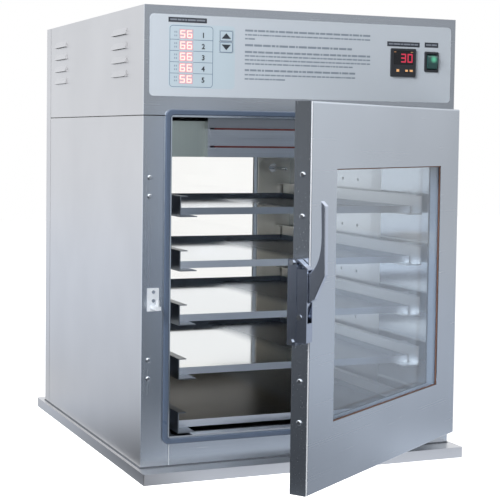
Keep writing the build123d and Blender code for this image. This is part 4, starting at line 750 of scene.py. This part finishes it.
class STERILIZER_OT_details(bpy.types.Operator):
    """Lay a dark grey bead round the cabinet's foot and close the space left of the heater duct"""

    bl_idname = "sterilizer.details"
    bl_label = "Foot bead and duct cover"

    def execute(self, context):
        bead = moulded("Silicone_sealant_grey", colour("#4A4E55"), 0.5, grain_size=1.5 * MM, grain=0.1)
        mesh_piece("foot_seal", *self.foot_seal(2.2 * MM), "cabinet", "gasket_rubber", bead)
        cover = brushed_stainless("Dull_rolled_cover", colour("#B3BBB4"), 0.34, "Z", streak=0.03)
        mesh_piece("duct_cover", *self.duct_cover(1.2 * MM), "cabinet", "duct_steel", cover)
        return {"FINISHED"}

    def foot_seal(self, width):
        """A quarter-round bead on the deck round the cabinet's foot: points of a quarter circle, (width - width sin a,
        width - width cos a), each moved out from the foot's rectangle by the first and up by the second, carried
        round its four corners. The bead's inner corner closes the profile."""
        left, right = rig.box("left_side_panel")[0][0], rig.box("right_side_panel")[1][0]
        front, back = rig.box("front_frame")[0][1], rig.box("back_panel")[1][1]
        angles = np.linspace(0.0, math.pi / 2, 5)
        out = np.append(width - width * np.sin(angles), 0.0)
        up = np.append(width - width * np.cos(angles), 0.0)
        corners = np.array([(left, front, -1, -1), (right, front, 1, -1), (right, back, 1, 1), (left, back, -1, 1)])
        flat = corners[:, None, :2] + corners[:, None, 2:] * out[None, :, None]
        points = np.concatenate([flat, np.broadcast_to(DECK + up, (4, len(up)))[..., None]], -1)
        n = len(out)
        k, i = np.meshgrid(np.arange(4), np.arange(n), indexing="ij")
        ahead, above = (k + 1) % 4, (i + 1) % n
        faces = np.stack([k * n + i, ahead * n + i, ahead * n + above, k * n + above], -1)
        return points.reshape(-1, 3), faces.reshape(-1, 4)

    def duct_cover(self, sheet):
        """A folded sheet from the left wall to the duct: its L-shaped section, an upright with a foot turned back
        10 mm, is carried straight across from one to the other."""
        duct_low, duct_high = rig.box("heater_duct")
        ends = np.array([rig.box("left_rails")[0][0], duct_low[0]])
        near, bottom, top = duct_low[1] + 16.0 * MM, duct_low[2], duct_high[2] - 6.0 * MM
        foot = near + 10.0 * MM
        section = np.array([(near, bottom), (foot, bottom), (foot, bottom + sheet), (near + sheet, bottom + sheet),
                            (near + sheet, top), (near, top)])
        n = len(section)
        points = np.concatenate([np.column_stack([np.full(n, end), section]) for end in ends])
        i = np.arange(n)
        j = (i + 1) % n
        sides = np.stack([i, i + n, j + n, j], 1)
        return points, [list(range(n)), list(range(2 * n - 1, n - 1, -1)), *sides.tolist()]


class STERILIZER_OT_soft_parts(bpy.types.Operator):
    """Give the seals, the glass, the insulation and the electrical parts their materials"""

    bl_idname = "sterilizer.soft_parts"
    bl_label = "Seals, glass and electrics"

    def execute(self, context):
        tints = context.scene.sterilizer_finishes
        for name, tint, roughness, grain, nodes in (
                ("Silicone_rubber_black", tints.gasket, 0.32, {"grain_size": 1.0 * MM, "grain": 0.05, "coat": 0.5},
                 ("door_gasket",)),
                ("Silicone_rubber_brown", tints.window_seal, 0.6, {"grain_size": 1.0 * MM, "grain": 0.15},
                 ("window_seal",)),
                ("Moulded_ABS_black", tints.black_plastic, 0.4, {},
                 ("controller_housing", "switch_housing", "cable_gland")),
                ("Moulded_keys_black", tints.black_plastic, 0.5, {},
                 ("controller_key_1", "controller_key_2", "controller_key_3")),
                ("Mineral_wool", tints.wool, 0.95, {"grain_size": 3.0 * MM, "grain": 0.8},
                 ("insulation", "door_insulation")),
                ("Solder_mask_green", tints.board, 0.35, {}, ("control_board",))):
            dress(moulded(name, tint, roughness, **grain), *nodes)
        cast = brushed_stainless("Cast_aluminium", tints.aluminium, 0.5, "Y", streak=0.02, bump=0.3)
        dress(cast, "fan_motor", "power_supply", "relay_heat_sink")
        dress(self.sheath(), "heating_elements")
        dress(self.glass("Float_glass", colour("#F3F8FD"), 1.52), "window_outer_glass", "window_inner_glass")
        dress(self.glass("Coated_float_glass", colour("#FEFEFD"), 1.25), "rear_window_panes")
        dress(self.rocker(tints.switch_green), "switch_rocker")
        return {"FINISHED"}

    def glass(self, name, tint, index):
        """Clear low-iron glass, 5 mm: sharp reflections from both faces, fainter from a pane with a coating that calms
        them, which a lower index stands for. Light for shadows passes straight through."""
        material, tree = new_material(name)
        shadow = add(tree, "LightPath").outputs["Is Shadow Ray"]
        clear = add(tree, "BsdfTransparent", (tint,))
        glass = add(tree, "BsdfPrincipled", {"Base Color": tint, "Roughness": 0.0, "IOR": index,
                                             "Transmission Weight": 1.0})
        shown = add(tree, "MixShader", (shadow, glass, clear))
        add(tree, "OutputMaterial", (shown,))
        return material

    def sheath(self):
        """Drawn nickel alloy sheath of the heating elements, browned in patches by its own heat, with a faint painted
        red glow."""
        material, tree = new_material("Browned_heater_sheath")
        place = add(tree, "TexCoord").outputs["Object"]
        browned = mottled(tree, place, 60.0, 3.0, (0.0, 1.0), BROWNED_SPAN)
        shade = add(tree, "Mix", {"Factor": browned, 6: colour("#8A5A4C"), 7: colour("#6F4A44")}, data_type="RGBA")
        # The red emission is a painted glow.
        sheath = add(tree, "BsdfPrincipled", {"Base Color": shade, "Metallic": 0.6, "Roughness": 0.5,
                                              "Emission Color": colour("#8A5052"), "Emission Strength": 0.25})
        add(tree, "OutputMaterial", (sheath,))
        return material

    def rocker(self, tint):
        """Translucent polycarbonate with a small lamp behind its upper half: the glow is strongest in front of the
        lamp and falls off evenly over 8 mm all round it."""
        material, tree = new_material("Translucent_polycarbonate_green")
        low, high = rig.box("switch_rocker")
        lamp = ((low[0] + high[0]) / 2 + 1.5 * MM, 0.0, (low[2] + high[2]) / 2 + 4.5 * MM)
        place = add(tree, "TexCoord").outputs["Object"]
        flat = add(tree, "VectorMath", (place, (1.0, 0.0, 1.0)), operation="MULTIPLY")
        away = add(tree, "VectorMath", (flat, lamp), operation="DISTANCE")
        glow = add(tree, "MapRange", (away, 1.0 * MM, 8.0 * MM, 0.75, 0.0), interpolation_type="SMOOTHSTEP")
        plastic = add(tree, "BsdfPrincipled", {"Base Color": tint, "Roughness": 0.2, "Coat Weight": 0.5,
                                               "Emission Color": colour("#5CC79A"), "Emission Strength": glow})
        add(tree, "OutputMaterial", (plastic,))
        return material


class STERILIZER_OT_panel(bpy.types.Operator):
    """Lay the film and its print on the control panel"""

    bl_idname = "sterilizer.panel"
    bl_label = "Control panel"

    def execute(self, context):
        tints = context.scene.sterilizer_finishes
        sizes = context.scene.sterilizer_print
        dress(polyester_film("Polyester_film", tints.film), "membrane_panel")
        dress(polyester_film("Polyester_film_tinted", tints.pale_ink), "timer_up_key", "timer_down_key")
        ink = screen_ink("Screen_ink_dark", tints.ink)
        rule_ink = screen_ink("Screen_ink_grey", tints.rule_ink)
        self.timer_print(tints, sizes, ink, rule_ink)
        self.labels(tints, sizes, ink)
        self.keys(sizes, ink, rule_ink)
        return {"FINISHED"}

    def timer_print(self, tints, sizes, ink, rule_ink):
        """The print round the timers: a tinted field, a ruled table on it, small marks and the row numbers."""
        film_out, thick, line = CABINET_FRONT - FILM_FACE, sizes.print_thickness, sizes.line_width
        second = film_out + thick

        # The tinted field, with openings for the displays and for the pair of keys.
        window_low, window_high = panel_box("timer_displays")
        key_low, key_high = panel_box("timer_down_key", "timer_up_key")
        rows = np.array(ROW_HEIGHTS)
        half = (window_high[1] - window_low[1] - (rows[-1] - rows[0])) / 2
        openings = [rounded((window_low[0], z - half), (window_high[0], z + half), 0.2 * MM) for z in rows]
        openings.append(rounded(key_low - 0.4 * MM, key_high + 0.4 * MM, 1.6 * MM))
        field = rounded(*TINTED_FIELD, 6.0 * MM)
        mesh_piece("panel_tint", *sheet_with_openings(field, openings, film_out, thick), "cabinet", "panel_film",
                   screen_ink("Screen_ink_tint", tints.pale_ink))

        # The ruled table: a rounded outline, with a rule under each row but the last.
        (left, _), (right, _) = TIMER_TABLE
        parts = [rule_ring(*TIMER_TABLE, 5.0 * MM, line, second, thick)]
        for z in (rows[1:] + rows[:-1]) / 2:
            parts.append(slabs([((left + window_low[0]) / 2, z), ((right + window_high[0]) / 2, z)],
                               [(window_low[0] - left, line), (right - window_high[0], line)], second, thick))
        mesh_piece("timer_table", *joined(parts), "cabinet", "panel_film", rule_ink)

        # Pairs of small marks left of each display, and the row numbers right of it.
        marks = [((x * MM, z + side * 2.8 * MM), (1.7 * MM, 2.8 * MM))
                 for z in rows for side in (-1, 1) for x in (51.0, 54.0)]
        mesh_piece("timer_marks", *slabs(*zip(*marks), second, thick), "cabinet", "panel_film",
                   screen_ink("Screen_ink_faint", tints.faint_ink))
        numbers = [lettering(str(len(rows) - i), sizes.row_number_height, (99.8 * MM, z - 1.0 * MM), second, thick)
                   for i, z in enumerate(rows)]
        mesh_piece("row_numbers", *joined(numbers), "cabinet", "panel_film", ink)

    def labels(self, tints, sizes, ink):
        """Dark bars, each with a pale strip where its words would be, and the directions as broken lines with no
        lettering."""
        film_out, thick = CABINET_FRONT - FILM_FACE, sizes.print_thickness
        lefts, rights, bottoms, tops = LABEL_BARS.T
        centres = np.stack([LABEL_BARS[:, :2].mean(1), LABEL_BARS[:, 2:].mean(1)], -1)
        extent = np.stack([rights - lefts, tops - bottoms], -1)
        mesh_piece("label_bars", *slabs(centres, extent, film_out, thick), "cabinet", "panel_film", ink)
        lows = LABEL_BARS[:, [0, 2]] + [[3.0 * MM, 3.0 * MM]]
        highs = LABEL_BARS[:, [1, 3]] - [[3.0 * MM, 2.6 * MM]]
        words = [word_strip(low[0], high[0], (low[1] + high[1]) / 2, 2.6 * MM, film_out + thick, thick, seed)
                 for seed, (low, high) in enumerate(zip(lows, highs))]
        mesh_piece("label_strips", *joined(words), "cabinet", "panel_film",
                   screen_ink("Screen_ink_silver", colour("#7A808A")))
        text = [word_strip(DIRECTIONS_LEFT, end * MM, z * MM, weight * sizes.text_line_height, film_out, thick, seed)
                for seed, (z, end, weight) in enumerate(DIRECTIONS, 10)]
        mesh_piece("direction_lines", *joined(text), "cabinet", "panel_film",
                   screen_ink("Screen_ink_text", tints.text_ink))

    def keys(self, sizes, ink, rule_ink):
        """Arrows and outlines printed on the two keys."""
        thick = sizes.print_thickness
        height, half_width = 9.0 * MM, 8.2 * MM
        for name, way in (("timer_up_key", 1), ("timer_down_key", -1)):
            low, high = panel_box(name)
            key_out = CABINET_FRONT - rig.box(name)[0][1]
            middle = (low + high) / 2
            base = middle[1] - way * height / 2
            arrow = np.array([(middle[0] - half_width, base), (middle[0] + half_width, base),
                              (middle[0], base + way * height)])
            edge = rule_ring(low + 0.9 * MM, high - 0.9 * MM, 2.0 * MM, 1.2 * sizes.line_width, key_out, thick)
            mesh_piece(name + "_edge", *edge, name, "key_film", rule_ink)
            mesh_piece(name + "_arrow", *prism(arrow[::way], key_out, thick), name, "key_film", ink)


class STERILIZER_OT_numerals(bpy.types.Operator):
    """Light the numerals of the timers and of the controller"""

    bl_idname = "sterilizer.numerals"
    bl_label = "Lit numerals"

    def execute(self, context):
        tints = context.scene.sterilizer_finishes
        sizes = context.scene.sterilizer_print
        dress(smoked_window("Timer_window_film", tints.timer_window, 0.35), "timer_displays")
        dress(smoked_window("Smoked_acrylic", tints.controller_window, 0.12), "controller_window")
        self.timers(tints, sizes)
        self.controller(tints, sizes)
        return {"FINISHED"}

    def timers(self, tints, sizes):
        """Two lit digits in each row of the timers, each on a wider dim one, which stands for its glow in the film."""
        thick, height, width = sizes.print_thickness, sizes.timer_height, 8.6 * MM
        out = CABINET_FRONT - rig.box("timer_displays")[0][1]
        halo, parts = [], []
        for z, value in zip(ROW_HEIGHTS, ("56", "66", "66", "66", "56")):
            for x, sign in zip(TIMER_DIGITS, value):
                centres, extent = numeral(sign, x, z - height / 2, width, height, 1.8 * MM)
                halo.append(slabs(centres, extent + 1.3 * MM, out, thick))
                parts.append(slabs(centres, extent, out + thick, thick))
        mesh_piece("timer_halo", *joined(halo), "cabinet", "display_red",
                   lit("Timer_halo_lit", tints.halo_red, 0.45, colour("#B88A90")))
        mesh_piece("timer_numerals", *joined(parts), "cabinet", "display_red",
                   lit("Timer_segments_lit", tints.lit_red, 0.9, colour("#D9A09C")))

    def controller(self, tints, sizes):
        """The controller's two digits, its two small lamps and the mark on each of its keys."""
        thick, height, width = sizes.print_thickness, sizes.controller_height, 10.0 * MM
        out = CABINET_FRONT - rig.box("controller_window")[0][1]
        parts = [slabs(*numeral(sign, x, CONTROLLER_MIDDLE - height / 2, width, height, 2.2 * MM), out, thick)
                 for x, sign in zip(CONTROLLER_DIGITS, "30")]
        mesh_piece("controller_numerals", *joined(parts), "cabinet", "controller_window",
                   lit("Controller_segments_lit", tints.deep_red, 0.75, colour("#50101A")))
        mesh_piece("controller_lamps", *slabs(CONTROLLER_LAMPS, [(4.4 * MM, 1.8 * MM)] * 2, out, thick), "cabinet",
                   "controller_window", lit("Lamp_amber_dim", tints.lit_amber, 0.25, colour("#6A4A34")))
        amber = lit("Key_mark_amber", tints.lit_amber, 0.55, colour("#B98A5A"))
        for name, size in (("controller_key_1", (5.2, 4.4)), ("controller_key_2", (5.0, 3.4)),
                           ("controller_key_3", (6.0, 3.4))):
            key_low, key_high = panel_box(name)
            key_out = CABINET_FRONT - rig.box(name)[0][1]
            mark = slabs([(key_low + key_high) / 2], [np.array(size) * MM], key_out, thick)
            mesh_piece(name + "_mark", *mark, name, "controller_keys", amber)


class STERILIZER_OT_stage(bpy.types.Operator):
    """Set the floor, the lamps, the surroundings and the camera"""

    bl_idname = "sterilizer.stage"
    bl_label = "Studio"

    def execute(self, context):
        scene = context.scene
        studio = scene.sterilizer_stage
        scene.view_settings.view_transform = "Standard"
        self.surroundings(scene)
        self.floor(studio)
        self.lamp("Side_softbox", studio.key_power, (-1.9, -1.4, 1.7), (-0.1, 0.0, 0.5))
        self.lamp("Front_softbox", studio.fill_power, (-0.4, -3.4, 1.3), (0.0, 0.0, 0.4))
        self.camera(scene, studio)
        return {"FINISHED"}

    def surroundings(self, scene):
        """White to the eye all round. Metal sees a white backdrop behind, a light wall on the right that fades
        downward, a grey room in front with one wide upright lamp, a dark one on the left, and a light ceiling."""
        world = bpy.data.worlds.new("Studio")
        scene.world = world
        world.use_nodes = True
        tree = world.node_tree
        tree.nodes.clear()
        direct, mirror = sight(tree)
        way = add(tree, "TexCoord").outputs["Generated"]
        x, y, z = add(tree, "SeparateXYZ", (way,)).outputs
        # The room, dark on the left, with a lighter and then a darker patch right of its middle, and the wall.
        room = add(tree, "MapRange", (x, -0.8, 0.3, 0.17, 0.46))
        lighter = add(tree, "MapRange", (x, 0.35, 0.42, 0.0, 0.17))
        darker = add(tree, "MapRange", (x, 0.45, 0.53, 0.0, -0.27))
        wall = add(tree, "MapRange", (x, 0.6, 0.95, 0.0, 0.5), interpolation_type="SMOOTHSTEP")
        patch = add(tree, "Math", (lighter, darker), operation="ADD")
        uneven = add(tree, "Math", (room, patch), operation="ADD")
        sides = add(tree, "Math", (uneven, wall), operation="ADD")
        # Both are brighter above the horizon, and the ceiling is added.
        horizon = add(tree, "MapRange", (z, -0.02, 0.12, 0.85, 1.25))
        ceiling = add(tree, "MapRange", (z, 0.3, 0.6, 0.0, 0.9), interpolation_type="SMOOTHSTEP")
        risen = add(tree, "Math", (sides, horizon), operation="MULTIPLY")
        lifted = add(tree, "Math", (risen, ceiling), operation="ADD")
        # The wide lamp, between its two sides and above its foot.
        begin = add(tree, "MapRange", (x, -0.8, -0.65, 0.0, 1.7))
        end = add(tree, "MapRange", (x, -0.1, 0.1, 1.0, 0.0))
        foot = add(tree, "MapRange", (z, -0.05, 0.05, 0.0, 1.0))
        strip = add(tree, "Math", (begin, end), operation="MULTIPLY")
        above = add(tree, "Math", (strip, foot), operation="MULTIPLY")
        lit_room = add(tree, "Math", (lifted, above), operation="ADD")
        behind = add(tree, "MapRange", (y, 0.28, 0.7, 0.0, 1.0), interpolation_type="SMOOTHSTEP")
        shade = add(tree, "Mix", {"Factor": behind, "A": lit_room, "B": 1.0}, data_type="FLOAT")
        soft = add(tree, "Background", (colour("#FFFFFF"), 0.12))
        seen = add(tree, "Background", (colour("#FFFFFF"),))
        mirrored = add(tree, "Background", (colour("#F5F8FD"), shade))
        glossy = add(tree, "MixShader", (mirror, soft, mirrored))
        both = add(tree, "MixShader", (direct, glossy, seen))
        add(tree, "OutputWorld", (both,))

    def floor(self, studio):
        """A wide pale floor at the object's lowest point. The eye sees it white, less the object's shadow. Metal sees
        it bright behind the object and close in front of it, grey on the right and dark at the front left."""
        flat = np.array([[-1, -1], [1, -1], [1, 1], [-1, 1]]) * FLOOR_SIZE / 2
        points = np.column_stack([flat, np.full(4, cad_low[2])])
        mesh = bpy.data.meshes.new("studio_floor")
        mesh.from_pydata(points.tolist(), [], [[0, 1, 2, 3]])
        floor = bpy.data.objects.new("studio_floor", mesh)
        bpy.context.scene.collection.objects.link(floor)
        material, tree = new_material("Studio_paper")
        direct, mirror = sight(tree)
        paper = add(tree, "BsdfDiffuse", (studio.floor_tint,))
        glow = add(tree, "Emission", (colour("#FFFFFF"), 0.96))
        white = add(tree, "AddShader", (paper, glow))
        place = add(tree, "TexCoord").outputs["Object"]
        x, y, _ = add(tree, "SeparateXYZ", (place,)).outputs
        # In front: lighter toward the object, and most where it is close and left of the object's right side.
        near = add(tree, "MapRange", (y, -1.0, -0.4, 0.0, 0.38))
        close = add(tree, "MapRange", (y, -0.5, -0.38, 0.0, 0.3), interpolation_type="SMOOTHSTEP")
        leftward = add(tree, "MapRange", (x, 0.35, 0.6, 1.0, 0.0))
        inside = add(tree, "MapRange", (x, -0.35, -0.2, 0.0, 1.0))
        middle = add(tree, "Math", (close, leftward), operation="MULTIPLY")
        nearer = add(tree, "Math", (near, middle), operation="ADD")
        within = add(tree, "Math", (nearer, inside), operation="MULTIPLY")
        # Across: dark on the left, and grey on the right unless it is far in front.
        across = add(tree, "MapRange", (x, -0.35, 0.0, 0.1, 0.22), interpolation_type="SMOOTHSTEP")
        rightward = add(tree, "MapRange", (x, 0.3, 1.2, 0.0, 0.19))
        not_far = add(tree, "MapRange", (y, -2.0, -1.0, 0.0, 1.0))
        right = add(tree, "Math", (rightward, not_far), operation="MULTIPLY")
        sides = add(tree, "Math", (across, right), operation="ADD")
        front = add(tree, "Math", (sides, within), operation="ADD")
        # Behind a line that slants a little: bright, with a faint cool cast except behind the rear window.
        slanted = add(tree, "Math", (x, -0.25, y), operation="MULTIPLY_ADD")
        behind = add(tree, "MapRange", (slanted, -0.2, 0.5, 0.0, 1.0), interpolation_type="SMOOTHSTEP")
        rear = add(tree, "MapRange", (y, 0.3, 2.5, 0.74, 0.98))
        beyond = add(tree, "MapRange", (y, 0.3, 0.6, 0.0, 1.0))
        window = add(tree, "MapRange", (x, -0.5, -0.3, 0.0, 1.0))
        neutral = add(tree, "Math", (beyond, window), operation="MULTIPLY")
        cast = add(tree, "Mix", {"Factor": neutral, 6: colour("#E9F1FE"), 7: colour("#FFFFFF")}, data_type="RGBA")
        shade = add(tree, "Mix", {"Factor": behind, "A": front, "B": rear}, data_type="FLOAT")
        mirrored = add(tree, "Emission", (cast, shade))
        eye = add(tree, "MixShader", (direct, paper, white))
        both = add(tree, "MixShader", (mirror, eye, mirrored))
        add(tree, "OutputMaterial", (both,))
        mesh.materials.append(material)
        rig.stage(floor)

    def lamp(self, name, power, place, target):
        """A square soft lamp at a place, turned to a target. Its light doesn't show in metal."""
        light = bpy.data.lights.new(name, "AREA")
        light.energy = power
        light.size = SOFTBOX_SIZE
        lamp = bpy.data.objects.new(name, light)
        lamp.visible_glossy = False
        lamp.location = place
        lamp.rotation_euler = (Vector(target) - Vector(place)).to_track_quat("-Z", "Y").to_euler()
        bpy.context.scene.collection.objects.link(lamp)

    def camera(self, scene, studio):
        """The camera stands at the front left, level with the upper part of the cabinet."""
        yaw, pitch, roll = CAMERA_TURN
        ahead = np.array([math.sin(yaw) * math.cos(pitch), math.cos(yaw) * math.cos(pitch), -math.sin(pitch)])
        right = np.array([math.cos(yaw), -math.sin(yaw), 0.0])
        down = np.cross(ahead, right)
        across = math.cos(roll) * right + math.sin(roll) * down
        below = -math.sin(roll) * right + math.cos(roll) * down
        view = bpy.data.cameras.new("Camera")
        view.lens = studio.lens
        view.sensor_width = SENSOR_WIDTH
        view.sensor_fit = "HORIZONTAL"
        view.shift_x, view.shift_y = CAMERA_SHIFT
        view.clip_start = 0.05
        camera = bpy.data.objects.new("Camera", view)
        place = np.eye(4)
        place[:3, 0], place[:3, 1], place[:3, 2] = across, -below, -ahead
        place[:3, 3] = CAMERA_PLACE
        camera.matrix_world = Matrix(place.tolist())
        bpy.context.scene.collection.objects.link(camera)
        scene.camera = camera


OPERATORS = (STERILIZER_OT_steel, STERILIZER_OT_details, STERILIZER_OT_soft_parts, STERILIZER_OT_panel,
             STERILIZER_OT_numerals, STERILIZER_OT_stage)


class STERILIZER_PT_sidebar(bpy.types.Panel):
    """Lists the steps that dress the sterilizer, and what they can be set to"""

    bl_idname = "STERILIZER_PT_sidebar"
    bl_label = "Sterilizer"
    bl_space_type = "VIEW_3D"
    bl_region_type = "UI"
    bl_category = "Sterilizer"

    def draw(self, context):
        for step in OPERATORS:
            self.layout.operator(step.bl_idname)
        scene = context.scene
        for group in (scene.sterilizer_finishes, scene.sterilizer_print, scene.sterilizer_stage):
            box = self.layout.box()
            for name in group.__annotations__:
                box.prop(group, name)


GROUPS = (SterilizerFinishes, SterilizerPrint, SterilizerStage)


def register():
    for group in (*GROUPS, *OPERATORS, STERILIZER_PT_sidebar):
        bpy.utils.register_class(group)
    bpy.types.Scene.sterilizer_finishes = bpy.props.PointerProperty(type=SterilizerFinishes)
    bpy.types.Scene.sterilizer_print = bpy.props.PointerProperty(type=SterilizerPrint)
    bpy.types.Scene.sterilizer_stage = bpy.props.PointerProperty(type=SterilizerStage)


def unregister():
    del bpy.types.Scene.sterilizer_stage
    del bpy.types.Scene.sterilizer_print
    del bpy.types.Scene.sterilizer_finishes
    for group in (STERILIZER_PT_sidebar, *reversed(OPERATORS), *reversed(GROUPS)):
        bpy.utils.unregister_class(group)


def main():
    register()
    bpy.ops.sterilizer.steel()
    bpy.ops.sterilizer.details()
    bpy.ops.sterilizer.soft_parts()
    bpy.ops.sterilizer.panel()
    bpy.ops.sterilizer.numerals()
    bpy.ops.sterilizer.stage()
    low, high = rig.bounds()
    with open("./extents.json", "w") as file:
        json.dump({"cad": [list(cad_low), list(cad_high)], "visual": [list(low), list(high)]}, file)


if __name__ == "__main__":
    main()
